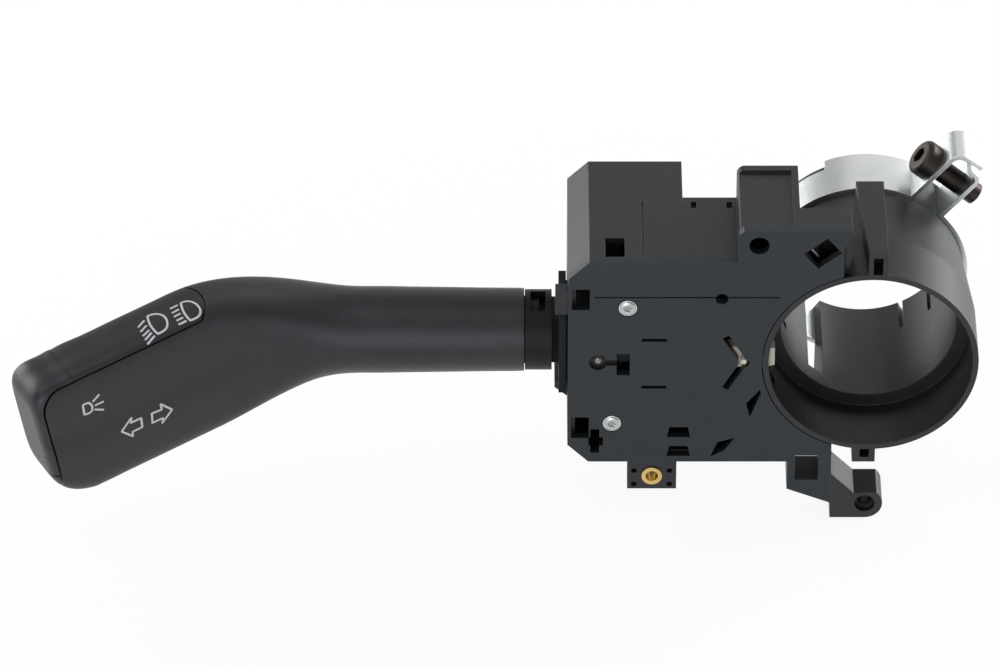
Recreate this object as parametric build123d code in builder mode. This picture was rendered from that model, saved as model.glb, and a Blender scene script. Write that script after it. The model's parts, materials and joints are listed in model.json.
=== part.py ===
from build123d import *
import math
import os

os.makedirs("parts", exist_ok=True)

# Combination stalk switch for a steering column.
# X runs to the driver's right, Y away from the driver and Z up.
# The origin is on the column's axis, at the shoulder where the clamp sleeve begins.
# A depth is measured away from the driver, from the switch's front face.

# Collar: front ring, shoulder and clamp sleeve
COLUMN_R = 23.3
SLEEVE_WALL = 2.9
SLEEVE_LENGTH = 38.6
RING_R = 27.0
RING_WALL = 1.5
RING_DEPTH = 17.4
TAPER_LENGTH = 23.6
SLOT_WIDTH = 1.3
SLOT_LENGTH = 11.5
SLOT_ANGLES = (-15, -40, -63, 100, 135, 170)
WIDE_SLOT_WIDTH = 5.0
WIDE_SLOT_LENGTH = 33.0
WIDE_SLOT_ANGLE = 235
RIB_WIDTH = 7.4
RIB_HEIGHT = 6.9
RIB_LENGTH = 15.6
RIB_TAPER = 2.4
RIB_ROOF = 1.5
LOW_RIB_WIDTH = 6.1
LOW_RIB_HEIGHT = 4.2
LOW_RIB_X = -1.15
LOW_SLOT_X = -0.95
RIB_SLOT = 2.5
RIB_SLOT_DEPTH = 6.0

# Body: box, front plate and rear block
BODY_REACH = 80.0
BODY_HEIGHT = 65.4
BODY_CORNER = 5.6
BODY_DEPTH = 27.4
BODY_END = 19.3
WALL = 2.0
FLOOR = 2.0
PLATE = 2.5
STEP = 2.0
BASE_WIDTH = 30.4
BASE_DEPTH = 18.6
SEAM = 0.3
TOWER_WIDTH = 16.1
TOWER_RISE = 9.9
TOWER_STEP = 2.6
TOWER_WALL = 1.8
TOWER_ROUND = 2.2
TOWER_PLATE_CUT = 1.3
TOWER_RECESS = 0.8
TOWER_LIP = 2.2
TOWER_SOCKET = 13.0
TOWER_SOCKET_DROP = 4.0
SHELF_END = 5.8
SHELF_DEPTH = 10.7
SHELF_WALL = 1.8
PLATE_EDGE = 7.8
PLATE_SHOULDER_RISE = 4.3

# Guards beside the stalk's slot, and small features of the body's top
SLOT_HALF = 16.5
GUARD_REACH = 3.4
GUARD_LAP = 1.1
GUARD_FRONT = 0.6
GUARD_BACK = 4.0
GUARD_SETBACK = 9.8
LOW_GUARD_LAP = 1.6
LOW_GUARD_SLOPE = 2.9
LOW_GUARD_FRONT = 12.0
LOW_GUARD_SETBACK = 12.9
TOP_WINDOW_INSET = 9.7
TOP_WINDOW_WIDTH = 5.1
TOP_WINDOW_DEPTH = 8.5
NOTCH_INSETS = (12.1, 2.6)
NOTCH_WIDTH = 1.5
NOTCH_LENGTH = 2.8
NOTCH_DEPTH = 1.2
PANEL_LINE_INSET = 19.4
PANEL_LINE = 0.5

# Small openings of the front plate, each from the body's left side, top or bottom
GROOVE_DROP = 11.4
GROOVE_DEPTH = 0.6
GROOVE_WIDTH = 0.5
GROOVE_INSET_LEFT = 7.0
GROOVE_INSET_RIGHT = 5.3
PEG_HOLE_R = 1.7
PEG_HOLE_X = 6.1
PEG_HOLE_DROP = 0.5
LOCATING_INSET = 5.3
LOCATING_RISE = 5.3
LOCATING_R = 2.7
CLIP_INSET = 7.6
CLIP_RISE = 2.8
CLIP_ANGLE = 39
CLIP_WINDOW_LENGTH = 7.9
CLIP_WINDOW_WIDTH = 6.1
CLIP_SHEET = 0.5
CLIP_MARGIN = 1.0
HOLE_ACROSS = (-19.3, -13.1)
HOLE_HEIGHT = 8.1
HOLE_DROP = 6.1
THIN_SLOT_START = 11.5
THIN_SLOT_LENGTH = 6.6
THIN_SLOT_WIDTH = 1.0
THIN_SLOTS_Z = (7.4, -8.0)
CORNER_INSET = 1.0
CORNER_WIDTH = 4.7
CORNER_WINDOWS = ((15.5, 8.8), (57.6, 50.7))
CROSS_INSET = 6.1
CROSS_WIDTH = 2.4
CROSS_SPAN = (2.9, 10.8)
CROSS_ARM_INSET = 5.6
CROSS_ARM_WIDTH = 3.9
CROSS_ARM_SPAN = (5.3, 8.1)
POCKET_INSET = 29.55
POCKET_HALF_TOP = 2.45
POCKET_HALF_LOW = 3.15
POCKET_HEIGHT = 3.4
POCKET_RISES = (11.5, 5.2)
KEY_SLOT_END = 5.0
KEY_SLOT_HALF = 0.95
KEY_WINDOW = (4.9, 8.4)
KEY_WINDOW_UP = (-4.1, 2.9)
HIGH_KITE = ((0.5, -8.7), (0.3, -10.2), (3.1, -17.9), (4.2, -13.4))
LOW_KITE = ((6.9, 8.0), (11.6, 6.5), (13.5, 1.6), (9.8, 3.6))

# Lower bracket, boss arm and insert tab
BRACKET_INSET = 2.1
BRACKET_RIGHT = 9.7
BRACKET_DROP_LEFT = 9.1
BRACKET_DROP_RIGHT = 13.8
BRACKET_ROOT = 2.7
BRACKET_ROOT_LEFT = 10.8
BRACKET_LAP = 3.0
BRACKET_EDGE = 1.2
ARM_DEPTH = 10.6
ARM_DROP = 4.0
ARM_RISE = 3.5
ARM_INSET = 3.0
BOSS_X = -0.4
BOSS_DROP = 14.0
BOSS_R = 4.7
BOSS_BORE = 2.0
BOSS_MOUTH = 2.75
BOSS_MOUTH_DEPTH = 2.0
TAB_WIDTH = 13.1
TAB_INSET = 22.65
TAB_DROP = 11.3
TAB_SETBACK = 3.0
TAB_THICKNESS = 6.0
INSERT_DROP = 6.8
INSERT_R = 2.6
INSERT_BORE = 1.65
INSERT_FLANGE_R = 2.75
INSERT_FLANGE = 0.5
TAB_HOLE_R = 0.8
TAB_HOLE_SPAN_X = 9.5
TAB_HOLE_SPAN_Z = 4.5
TAB_HOLE_RISE = 1.5

# Stalk: where it tips and turns, and its outer form
PIVOT_INSET = 8.0
NECK_R = 11.0
NECK_START = 12.2
NECK_LENGTH = 7.1
NECK_STEP = 0.3
NECK_WINDOW = (1.5, 5.5)
NECK_WINDOW_DEPTH = (4.8, 3.0)
NECK_WINDOW_LOW = 5.0
SHELL_START = 19.5
STRAIGHT = 50.4
BEND_R = 76.0
BEND_TO_DRIVER = 27.5
BEND_DOWN = 10.8
PADDLE_LENGTH = 48.0
PADDLE_HEIGHT = 40.0
PADDLE_THICKNESS = 18.0
STALK_D = 23.4
SHELL_WALL = 2.0
CAP_THICKNESS = 2.2
CAP_END = 2.6
CAP_LENGTH = 55.0
PAD_CORNER = 6.0
CAP_TONGUE = 0.6
CORE_HEIGHT = 12.0
CORE_THICKNESS = 7.0
CORE_GAP = 0.2
CORE_END = 8.0
CORE_FIRST = 8.0
CORE_BEFORE_TIP = 32.0
CORE_LAST_BEFORE_TIP = 14.0
SPLIT_PAST = 10.0
SPLIT_FAR = 60.0
FLANGE_THICKNESS = 2.0
TIP_ROUND_LOW = 13.0
TIP_ROUND_TOP = 6.0
TIP_ROUND_FACE = 3.0
TIP_STATIONS = 6
PADDLE_SQUARENESS = 5.5
SWELL_START = 46.0
SWELL_LENGTH = 44.0
STALK_STATIONS = 16
BLANK_HEIGHT = 11.0
SHELL_SEAM = 0.5

# Turning frame and tipping pin
TURN_RANGE = 12.0
FRAME_ROOM = 0.4
FRAME_HALF_X = 6.5
FRAME_HALF_Z = 11.0
FRAME_EAR = 1.4
CANCEL_ARM_GAP = 3.5
CANCEL_ARM_HALF = 1.8
PIN_R = 1.5
RUNNING_FIT = 0.05
PIN_COUNTERSINK_R = 2.4
PIN_COUNTERSINK = 1.5
PIN_SETBACK = 0.9
BEARING_R = 4.0
BEARING_LENGTH = 2.1
SHIELD_X = 8.4
SHIELD_THICKNESS = 2.0
SHIELD_HALF = 12.0
SHIELD_ROOM = 0.5
BAR_HALF_DEPTH = 5.0
BAR_ROOM = 1.6
BAR_SIDE_ROOM = 0.3
BAR_HALF_HEIGHT = 7.2
BAR_REACH = 7.0
TAIL_HALF = 4.0
TAIL_FLAT = 0.7
TAIL_LENGTH = 17.4

# Detent
NOSE_REACH = 19.6
PLUNGER_R = 2.0
PLUNGER_LENGTH = 8.0
NOSE_R = 1.2
BORE_START = 2.7
CAM_GAP = 0.3
CAM_HALF_HEIGHT = 5.8
CAM_FRONT = 6.0
CAM_HORN = 2.2
CAM_BACK = 5.0
DETENT_TURN = 8.0
DIMPLE = 0.5
SPRING_WIRE = 0.25
SPRING_TURNS = 5
DETENT_SPRING_R = 1.5
PAWL_SPRING_R = 1.2

# Turn signal drive
ARM_REACH = 14.0
ARM_THICKNESS = 2.0
ARM_ROOM = 0.6
ARM_HALF = 2.4
ARM_OVER_PIN = 2.2
DRIVE_PIN_R = 1.4
DRIVE_PIN_SHORT = 0.3
DRIVE_ROOM_LEFT = 0.8
DRIVE_ROOM = 0.5
SLIDER_ROOM = 0.4
SLIDER_WIDTH = 11.0
SLIDER_HEIGHT = 14.0
SLIDER_THICKNESS = 2.6
BOARD_THICKNESS = 1.6
BOARD_GAP = 2.2
BOARD_INSET = 8.7
TRACK = 0.3
TRACK_COUNT = 4
TRACK_PITCH = 2.8
TRACK_SHIFT = -0.2
TRACK_HALF = 1.0
TRACK_INSET = 2.0
BRIDGE = 0.4
BRIDGE_LIFT = 0.1
BRIDGE_LOW = 3.5
BRIDGE_HEIGHT = 2.0
FINGER_HALF = 0.6
BRIDGE_EDGE = 0.8
RAIL = 2.0
RAIL_GAP = 0.3
RAIL_OVER = 4.0
THIN_RAIL = 0.6

# Beam drive
BEAM_ARM = 15.0
BEAM_PIN_R = 1.2
BEAM_PIN_TOP = 12.6
BEAM_PIN_SINK = 1.2
BEAM_SLIDER_Z = 7.3
BEAM_SLIDER_THICKNESS = 1.6
BEAM_SLIDER_START = 9.8
BEAM_SLIDER_WIDTH = 17.2
BEAM_SLIDER_LENGTH = 11.0
BEAM_SLOT_START = 11.8
BEAM_SLOT_WIDTH = 7.1
BEAM_BOARD_THICKNESS = 1.2
BEAM_BRIDGE_START = 20.8
BEAM_BRIDGE_WIDTH = 3.5
BEAM_BRIDGE_HALF = 3.0
BEAM_TRAVEL_ROOM = 2.5
BEAM_BOARD_EDGES = (0.8, 0.4)
BEAM_STRIPS = (0.8, 2.7)
GUIDE_WALL = 1.5
GUIDE_LAP = 2.0

# Cancel pawl
PAWL_CLEAR = 5.0
PAWL_FINGER_SHORT = 1.7
PAWL_FINGER_HALF = 3.3
PAWL_FINGER_TAPER = 2.4
PAWL_FINGER_TIP = 0.6
PAWL_THICKNESS = 3.2
PAWL_GAP = 0.3
PAWL_PIN_R = 0.75
PAWL_PIN_FRONT = 0.4
PAWL_SHOULDER = 4.0
PAWL_TAIL_REACH = 10.5
PAWL_TAIL_HALF = 2.2
PAWL_EAR_REACH = 8.5
PAWL_EAR_WIDTH = 3.0
PAWL_EAR_SLOPE = 2.0
PAWL_EAR_TOP = -3.0
PAWL_EAR_DROP = 1.8
PAWL_SPRING_Z = -9.6
SPRING_SEAT_REACH = 15.5
SPRING_SEAT = 2.0
SPRING_SEAT_UP = 1.9
SPRING_SEAT_OVER = 0.6
V_LENGTH = 9.8
V_WIDTH = 1.9
V_APEX_R = 1.5
V_ANGLE = 60.0
WINDOW_LOW = -12.0
WINDOW_HIGH = 8.0
WINDOW_SILL = 0.1
WINDOW_OVER = 1.5
WINDOW_LAP = 2.0

# Clamp band and bolt
BAND = 1.2
BAND_SETBACK = 24.0
BAND_WIDTH = 15.6
BAND_STEP = 4.0
BAND_STEP_X = -11.0
EAR_WIDTH = 12.0
CLAMP_ANGLE = 50.0
EAR_LEFT = -6.3
EAR_RIGHT = 3.6
EAR_ROOT = 0.4
EAR_RISE = 18.2
EAR_HOOK = 8.0
EAR_HOOK_RISE = 0.6
EAR_BEND = 3.0
SHORT_EAR_DROP = 2.6
SHORT_EAR_HOOK = 4.0
SHORT_EAR_HOOK_RISE = 0.4
SHORT_EAR_BEND = 2.0
BOLT_RISE = 8.6
BOLT_R = 3.0
BOLT_HEAD_R = 5.0
BOLT_HEAD = 4.4
BOLT_HEAD_ROUND = 1.5
BOLT_LENGTH = 15.5
BOLT_SOCKET = 4.0
BOLT_SOCKET_DEPTH = 2.8

# Screws and connector blades
SCREW_HEAD_R = 2.4
SCREW_HEAD = 1.4
SCREW_HEAD_ROOM = 0.25
SCREW_SHANK_ROOM = 0.1
SCREW_R = 1.25
SCREW_LENGTH = 12.0
SCREW_HOLE_OVER = 1.5
SCREW_BOSS_R = 3.0
SCREW_RECESS_R = 0.9
SCREW_LOBE_R = 0.36
SCREW_RECESS_DEPTH = 0.84
COVER_SCREW_INSETS = (15.7, 11.8)
COVER_SCREW_DROPS = (14.9, 52.7)
BASE_SCREW_INSETS = (4.5, 4.4)
BASE_SCREW_DROP = 5.7
BLADE_WIDTH = 2.8
BLADE_THICKNESS = 0.8
BLADE_REACH = 5.0
BLADE_PITCH = 3.1
SIDE_BLADE_PITCH = 4.15
SIDE_BLADE_RISE = 2.8
SIDE_BLADE_REACH = 7.0
SOCKET_WIDTH = 22.0
SOCKET_LOW = 2.1
SOCKET_DROP = 9.6
BASE_PARTITION = 2.0

# How far a cut runs past the face that it opens
PAST = 1.0

# Worked out from the sizes above: the body's sides and the collar
FRONT_Y = -RING_DEPTH
BODY_LEFT = -BODY_REACH
BODY_RIGHT = -BODY_END
BODY_TOP = BODY_HEIGHT / 2
INNER_LEFT = BODY_LEFT + WALL
INNER_RIGHT = BODY_RIGHT - WALL
INNER_TOP = BODY_TOP - WALL
INNER_CORNER = BODY_CORNER - WALL / 2
FLOOR_FRONT = BODY_DEPTH - FLOOR
STEP_DEPTH = BODY_DEPTH + STEP
TOWER_DEPTH = BODY_DEPTH + TOWER_STEP
TOWER_TOP = BODY_TOP + TOWER_RISE
TOWER_LEFT = BODY_RIGHT - TOWER_WIDTH
TOWER_BACK_WALL = TOWER_DEPTH - TOWER_SOCKET
PLATE_SHOULDER = BODY_TOP + PLATE_SHOULDER_RISE
RING_OUTER = RING_R + RING_WALL
SLEEVE_R = COLUMN_R + SLEEVE_WALL
SLEEVE_END = RING_DEPTH + SLEEVE_LENGTH
RIB_TOP = RING_OUTER + RIB_HEIGHT
RIB_BACK = RING_DEPTH + RIB_LENGTH
LOW_RIB_BOTTOM = RING_OUTER + LOW_RIB_HEIGHT
BASE_RIGHT = BODY_LEFT + BASE_WIDTH
BASE_BACK = BODY_DEPTH + BASE_DEPTH
BASE_MIDDLE = BODY_LEFT + BASE_WIDTH / 2

# Worked out: bracket, boss, tab, clip and holes of the plate
BRACKET_LEFT = BODY_END + BRACKET_INSET
BRACKET_LOW_LEFT = BODY_TOP + BRACKET_DROP_LEFT
BRACKET_LOW_RIGHT = BODY_TOP + BRACKET_DROP_RIGHT
ARM_TOP = BODY_TOP + ARM_DROP
BOSS_Z = -BODY_TOP - BOSS_DROP
TAB_X = BODY_LEFT + TAB_INSET
TAB_BACK = TAB_SETBACK + TAB_THICKNESS
INSERT_Z = -BODY_TOP - INSERT_DROP
GROOVE_Z = BODY_TOP - GROOVE_DROP
LOCATING_X = TOWER_LEFT + LOCATING_INSET
LOCATING_Z = BODY_TOP + LOCATING_RISE
CLIP_X = -SHELF_END - CLIP_INSET
CLIP_Z = BODY_TOP + CLIP_RISE
HOLE_LOW = -BODY_TOP - HOLE_DROP
HOLE_UP = (HOLE_LOW, HOLE_LOW + HOLE_HEIGHT)
SCREW_PLACES = [
    (BODY_LEFT + inset, BODY_TOP - drop) for inset, drop in zip(COVER_SCREW_INSETS, COVER_SCREW_DROPS)
]
BASE_SCREW_Z = BODY_TOP - BASE_SCREW_DROP
BASE_SCREW_PLACES = (
    (BODY_LEFT + BASE_SCREW_INSETS[0], BASE_SCREW_Z),
    (BASE_RIGHT - BASE_SCREW_INSETS[1], -BASE_SCREW_Z),
)

# Worked out: turning frame, tipping bar and drives
FRAME_FRONT = PLATE + BEARING_LENGTH + FRAME_ROOM
FRAME_BACK = FLOOR_FRONT - FRAME_ROOM
PIVOT_X = BODY_LEFT + PIVOT_INSET
PIVOT_DEPTH = (FRAME_FRONT + FRAME_BACK) / 2
PIVOT_Y = FRONT_Y + PIVOT_DEPTH
WINDOW_FRONT = PIVOT_DEPTH - BAR_HALF_DEPTH - BAR_ROOM
WINDOW_BACK = PIVOT_DEPTH + BAR_HALF_DEPTH + BAR_ROOM
RUNNING_R = PIN_R + RUNNING_FIT
FRAME_LEFT = PIVOT_X - SHIELD_X
FRAME_RIGHT = PIVOT_X + FRAME_HALF_X
EAR_INNER = BAR_HALF_HEIGHT + BAR_SIDE_ROOM
SHIELD_FRONT = PLATE + SHIELD_ROOM
DRIVE_X = PIVOT_X + ARM_REACH
SLIDER_FRONT = BODY_DEPTH + SLIDER_ROOM
SLIDER_BACK = SLIDER_FRONT + SLIDER_THICKNESS
SLIDER_LEFT = DRIVE_X - SLIDER_WIDTH / 2
SLIDER_RIGHT = DRIVE_X + SLIDER_WIDTH / 2
BOARD_DEPTH = SLIDER_BACK + BOARD_GAP
BOARD_HALF = BODY_TOP - BOARD_INSET
PARTITION_FRONT = BOARD_DEPTH + BOARD_THICKNESS
PARTITION_BACK = PARTITION_FRONT + BASE_PARTITION
TRACKS_X = [
    DRIVE_X + TRACK_SHIFT + TRACK_PITCH * (number - (TRACK_COUNT - 1) / 2) for number in range(TRACK_COUNT)
]
BEAM_SLIDER_LEFT = PIVOT_X + BEAM_SLIDER_START
BEAM_SLIDER_RIGHT = BEAM_SLIDER_LEFT + BEAM_SLIDER_WIDTH
BEAM_SLOT_LEFT = PIVOT_X + BEAM_SLOT_START
BEAM_SLOT_RIGHT = BEAM_SLOT_LEFT + BEAM_SLOT_WIDTH
BEAM_BRIDGE_LEFT = PIVOT_X + BEAM_BRIDGE_START

# Worked out: pawl, plugs, band and bolt
PAWL_X = -RING_OUTER - PAWL_CLEAR
PAWL_FINGER_END = RING_R - PAWL_FINGER_SHORT
PAWL_TAIL = PAWL_X - PAWL_TAIL_REACH
PAWL_EAR_X = PAWL_X - PAWL_EAR_REACH
SPRING_SEAT_X = PAWL_X - SPRING_SEAT_REACH
SOCKET_TOP = BODY_TOP - SOCKET_DROP
SOCKET_MIDDLE = (SOCKET_TOP + SOCKET_LOW) / 2
BLADES = [
    (BASE_MIDDLE + BLADE_PITCH * step, side * SOCKET_MIDDLE) for step in range(-2, 3) for side in (-1, 1)
]
SIDE_BLADES_X = [BODY_RIGHT - TOWER_WIDTH / 2 + SIDE_BLADE_PITCH * step for step in (-1, 0, 1)]
SIDE_BLADE_Z = BODY_TOP + SIDE_BLADE_RISE
BAND_FRONT = RING_DEPTH + BAND_SETBACK
BAND_R = SLEEVE_R + BAND / 2
EAR_TOP = SLEEVE_R + EAR_RISE
BOLT_LINE = SLEEVE_R + BOLT_RISE
BEND_ANGLE = math.degrees(
    math.acos(math.cos(math.radians(BEND_TO_DRIVER)) * math.cos(math.radians(BEND_DOWN)))
)


def facing(depth):
    """Return a sketch plane at a depth: X right, Z up, looked at by the driver."""
    return Plane(origin=(0, FRONT_Y + depth, 0), x_dir=(1, 0, 0), z_dir=(0, -1, 0))


def middle(span):
    """Return the middle of a (low, high) pair."""
    return (span[0] + span[1]) / 2


def block(across, depth, up, mode=Mode.ADD):
    """Add or cut a box between limits in X, depth and Z."""
    with Locations((middle(across), FRONT_Y + middle(depth), middle(up))):
        Box(across[1] - across[0], depth[1] - depth[0], up[1] - up[0], mode=mode)


def rod(x, z, radius, depth, mode=Mode.ADD):
    """Add or cut a cylinder that runs away from the driver between two depths."""
    with Locations(Location((x, FRONT_Y + middle(depth), z), (90, 0, 0))):
        Cylinder(radius, depth[1] - depth[0], mode=mode)


def upright(x, y, radius, up, mode=Mode.ADD):
    """Add or cut an upright cylinder between two heights."""
    with Locations((x, y, middle(up))):
        Cylinder(radius, up[1] - up[0], mode=mode)


def lying(y, z, radius, across, mode=Mode.ADD):
    """Add or cut a cylinder that runs across, along X."""
    with Locations(Location((middle(across), y, z), (0, 90, 0))):
        Cylinder(radius, across[1] - across[0], mode=mode)


def polygon_prism(points, depth, mode=Mode.ADD):
    """Add or cut a prism with a straight-sided outline, given as (x, z) points."""
    with BuildSketch(facing(depth[1]), mode=Mode.PRIVATE) as outline:
        with BuildLine():
            Polyline(*points, close=True)
        make_face()
    extrude(outline.sketch, amount=depth[1] - depth[0], mode=mode)


def body_outline(left, right, half, corner):
    """Return the body's outline from the front, with its two cut corners on the left."""
    return [
        (left + corner, half),
        (right, half),
        (right, -half),
        (left + corner, -half),
        (left, -half + corner),
        (left, half - corner),
    ]


# Housing: box, collar, tower, shelf, bracket arm, insert tab and ribs in one moulding
with BuildPart() as housing:
    polygon_prism(body_outline(BODY_LEFT, BODY_RIGHT, BODY_TOP, BODY_CORNER), (PLATE, BODY_DEPTH))
    block((BASE_RIGHT, TOWER_LEFT), (BODY_DEPTH, STEP_DEPTH), (-BODY_TOP, BODY_TOP))
    block((TOWER_LEFT, BODY_RIGHT), (PLATE, TOWER_DEPTH), (-BODY_TOP, TOWER_TOP))
    tower_corner = (TOWER_LEFT, TOWER_LEFT + TOWER_ROUND)
    block(tower_corner, (PLATE, TOWER_DEPTH), (TOWER_TOP - TOWER_ROUND, TOWER_TOP), Mode.SUBTRACT)
    rod(TOWER_LEFT + TOWER_ROUND, TOWER_TOP - TOWER_ROUND, TOWER_ROUND, (PLATE, TOWER_DEPTH))
    block((BODY_RIGHT, -SHELF_END), (PLATE, SHELF_DEPTH), (0, TOWER_TOP))
    bracket = [
        (-BRACKET_LEFT, -INNER_TOP),
        (-BRACKET_LEFT, -BRACKET_LOW_LEFT),
        (-BRACKET_RIGHT, -BRACKET_LOW_RIGHT),
        (-BRACKET_RIGHT, BRACKET_ROOT - RING_R),
        (BODY_RIGHT, BRACKET_ROOT_LEFT - RING_R),
    ]
    polygon_prism(bracket, (PLATE, ARM_DEPTH))

    # the collar's outside is added before anything is hollowed
    with BuildSketch(Plane.XY) as collar_profile:
        with BuildLine():
            Polyline(
                (0, FRONT_Y),
                (RING_OUTER, FRONT_Y),
                (RING_OUTER, 0),
                (SLEEVE_R, TAPER_LENGTH),
                (SLEEVE_R, SLEEVE_LENGTH),
                (0, SLEEVE_LENGTH),
                close=True,
            )
        make_face()
    revolve(axis=Axis.Y)

    # the box's inside, left of the ring
    with BuildSketch(facing(FLOOR_FRONT)) as inside:
        with BuildLine():
            Polyline(*body_outline(INNER_LEFT, INNER_RIGHT, INNER_TOP, INNER_CORNER), close=True)
        make_face()
        Circle(RING_OUTER, mode=Mode.SUBTRACT)
    extrude(amount=FLOOR_FRONT - PLATE, mode=Mode.SUBTRACT)
    block((BASE_RIGHT + WALL, TOWER_LEFT), (BODY_DEPTH, STEP_DEPTH), (-INNER_TOP, INNER_TOP), Mode.SUBTRACT)
    block((TOWER_LEFT, INNER_RIGHT), (BODY_DEPTH, TOWER_DEPTH), (-INNER_TOP, INNER_TOP), Mode.SUBTRACT)

    # tower: a socket open to the rear, and a recessed top panel
    tower_across = (TOWER_LEFT + TOWER_WALL, BODY_RIGHT - TOWER_WALL)
    tower_roof = TOWER_TOP - TOWER_RECESS - TOWER_WALL
    socket_up = (BODY_TOP - TOWER_SOCKET_DROP, tower_roof)
    block(tower_across, (TOWER_BACK_WALL, TOWER_DEPTH), socket_up, Mode.SUBTRACT)
    block(
        (TOWER_LEFT, BODY_RIGHT - TOWER_WALL),
        (PLATE, TOWER_DEPTH - TOWER_LIP),
        (TOWER_TOP - TOWER_RECESS, TOWER_TOP + PAST),
        Mode.SUBTRACT,
    )

    # tower: a pocket behind the front plate, and slots for the blades between pocket and socket
    pocket_back = TOWER_BACK_WALL - TOWER_WALL
    block(tower_across, (PLATE, pocket_back), (INNER_TOP - PAST, tower_roof), Mode.SUBTRACT)
    for blade_x in SIDE_BLADES_X:
        block(
            (blade_x - BLADE_THICKNESS / 2, blade_x + BLADE_THICKNESS / 2),
            (pocket_back, TOWER_BACK_WALL),
            (SIDE_BLADE_Z - BLADE_WIDTH / 2, SIDE_BLADE_Z + BLADE_WIDTH / 2),
            Mode.SUBTRACT,
        )

    # shelf: hollow behind the plate, so that the clip has its pocket
    with BuildSketch(facing(SHELF_DEPTH - SHELF_WALL)) as pocket:
        with BuildLine():
            Polyline(
                (BODY_RIGHT, 0),
                (BODY_RIGHT, TOWER_TOP - SHELF_WALL),
                (-SHELF_END - SHELF_WALL, TOWER_TOP - SHELF_WALL),
                (-SHELF_END - SHELF_WALL, 0),
                close=True,
            )
        make_face()
        Circle(RING_OUTER + SHELF_WALL, mode=Mode.SUBTRACT)
    extrude(amount=SHELF_DEPTH - SHELF_WALL - PLATE, mode=Mode.SUBTRACT)
    block((-SHELF_END, 0), (0, SHELF_DEPTH + PAST), (RING_OUTER, TOWER_TOP), Mode.SUBTRACT)

    # top and bottom ribs on the collar, with a slot in their front faces
    with BuildSketch(facing(RIB_BACK)) as rib_back:
        with Locations((0, (RIB_TOP + RING_R) / 2)):
            Rectangle(RIB_WIDTH, RIB_TOP - RING_R)
    with BuildSketch(facing(0)) as rib_front:
        with Locations((RIB_TAPER / 2, (RIB_TOP + RING_R) / 2)):
            Rectangle(RIB_WIDTH - RIB_TAPER, RIB_TOP - RING_R)
    loft()
    block(
        (LOW_RIB_X - LOW_RIB_WIDTH / 2, LOW_RIB_X + LOW_RIB_WIDTH / 2),
        (0, RIB_BACK),
        (-LOW_RIB_BOTTOM, -RING_R),
    )
    for slot_x, slot_span in (
        (RIB_TAPER / 2, (RING_OUTER, RIB_TOP - RIB_ROOF)),
        (LOW_SLOT_X, (RIB_ROOF - LOW_RIB_BOTTOM, -RING_OUTER)),
    ):
        block((slot_x - RIB_SLOT / 2, slot_x + RIB_SLOT / 2), (0, RIB_SLOT_DEPTH), slot_span, Mode.SUBTRACT)

    # boss arm, to the right of the bracket
    arm_top = BOSS_Z + ARM_RISE
    arm_low = BOSS_Z - BOSS_R
    arm = [
        (-BRACKET_RIGHT, -ARM_TOP),
        (BOSS_X - ARM_INSET, arm_top),
        (BOSS_X, arm_top),
        (BOSS_X, arm_low),
        (-BRACKET_RIGHT, arm_low),
    ]
    arm_root = [
        (-BRACKET_RIGHT, -BRACKET_LOW_RIGHT),
        (-BRACKET_RIGHT - BRACKET_LAP, BRACKET_EDGE - BRACKET_LOW_RIGHT),
        (-BRACKET_RIGHT - BRACKET_LAP, -ARM_TOP),
    ]
    rod(BOSS_X, BOSS_Z, BOSS_R, (0, ARM_DEPTH))
    block((BOSS_X - BOSS_R, BOSS_X + BOSS_R), (0, ARM_DEPTH), (arm_top, BOSS_Z + BOSS_R), Mode.SUBTRACT)
    polygon_prism(arm + arm_root, (PLATE, ARM_DEPTH))
    polygon_prism(arm, (0, PLATE))
    rod(BOSS_X, BOSS_Z, BOSS_BORE, (0, ARM_DEPTH), Mode.SUBTRACT)
    rod(BOSS_X, BOSS_Z, BOSS_MOUTH, (0, BOSS_MOUTH_DEPTH), Mode.SUBTRACT)
    block(HOLE_ACROSS, (PLATE, ARM_DEPTH), HOLE_UP, Mode.SUBTRACT)

    # insert tab under the body
    tab_across = (TAB_X - TAB_WIDTH / 2, TAB_X + TAB_WIDTH / 2)
    block(tab_across, (TAB_SETBACK, TAB_BACK), (-BODY_TOP - TAB_DROP, -INNER_TOP))
    rod(TAB_X, INSERT_Z, INSERT_R, (TAB_SETBACK, TAB_BACK), Mode.SUBTRACT)
    for side_x in (-TAB_HOLE_SPAN_X / 2, TAB_HOLE_SPAN_X / 2):
        for side_z in (TAB_HOLE_RISE - TAB_HOLE_SPAN_Z, TAB_HOLE_RISE):
            rod(TAB_X + side_x, INSERT_Z + side_z, TAB_HOLE_R, (TAB_SETBACK, TAB_BACK), Mode.SUBTRACT)

    # collar bore, the ring's inside, and the sleeve's slots
    rod(0, 0, COLUMN_R, (0, SLEEVE_END), Mode.SUBTRACT)
    rod(0, 0, RING_R, (0, RING_DEPTH), Mode.SUBTRACT)
    slots = [(angle, SLOT_LENGTH, SLOT_WIDTH) for angle in SLOT_ANGLES]
    for angle, length, width in slots + [(WIDE_SLOT_ANGLE, WIDE_SLOT_LENGTH, WIDE_SLOT_WIDTH)]:
        with Locations(Location((0, FRONT_Y + SLEEVE_END - length / 2, 0), (0, -angle, 0))):
            with Locations((SLEEVE_R, 0, 0)):
                Box(4 * SLEEVE_WALL, length, width, mode=Mode.SUBTRACT)

    # window for the pawl's finger
    block(
        (-RING_OUTER - PAST, WINDOW_LAP - RING_R),
        (PLATE + WINDOW_SILL, PLATE + PAWL_THICKNESS + WINDOW_OVER),
        (WINDOW_LOW, WINDOW_HIGH),
        Mode.SUBTRACT,
    )

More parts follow.
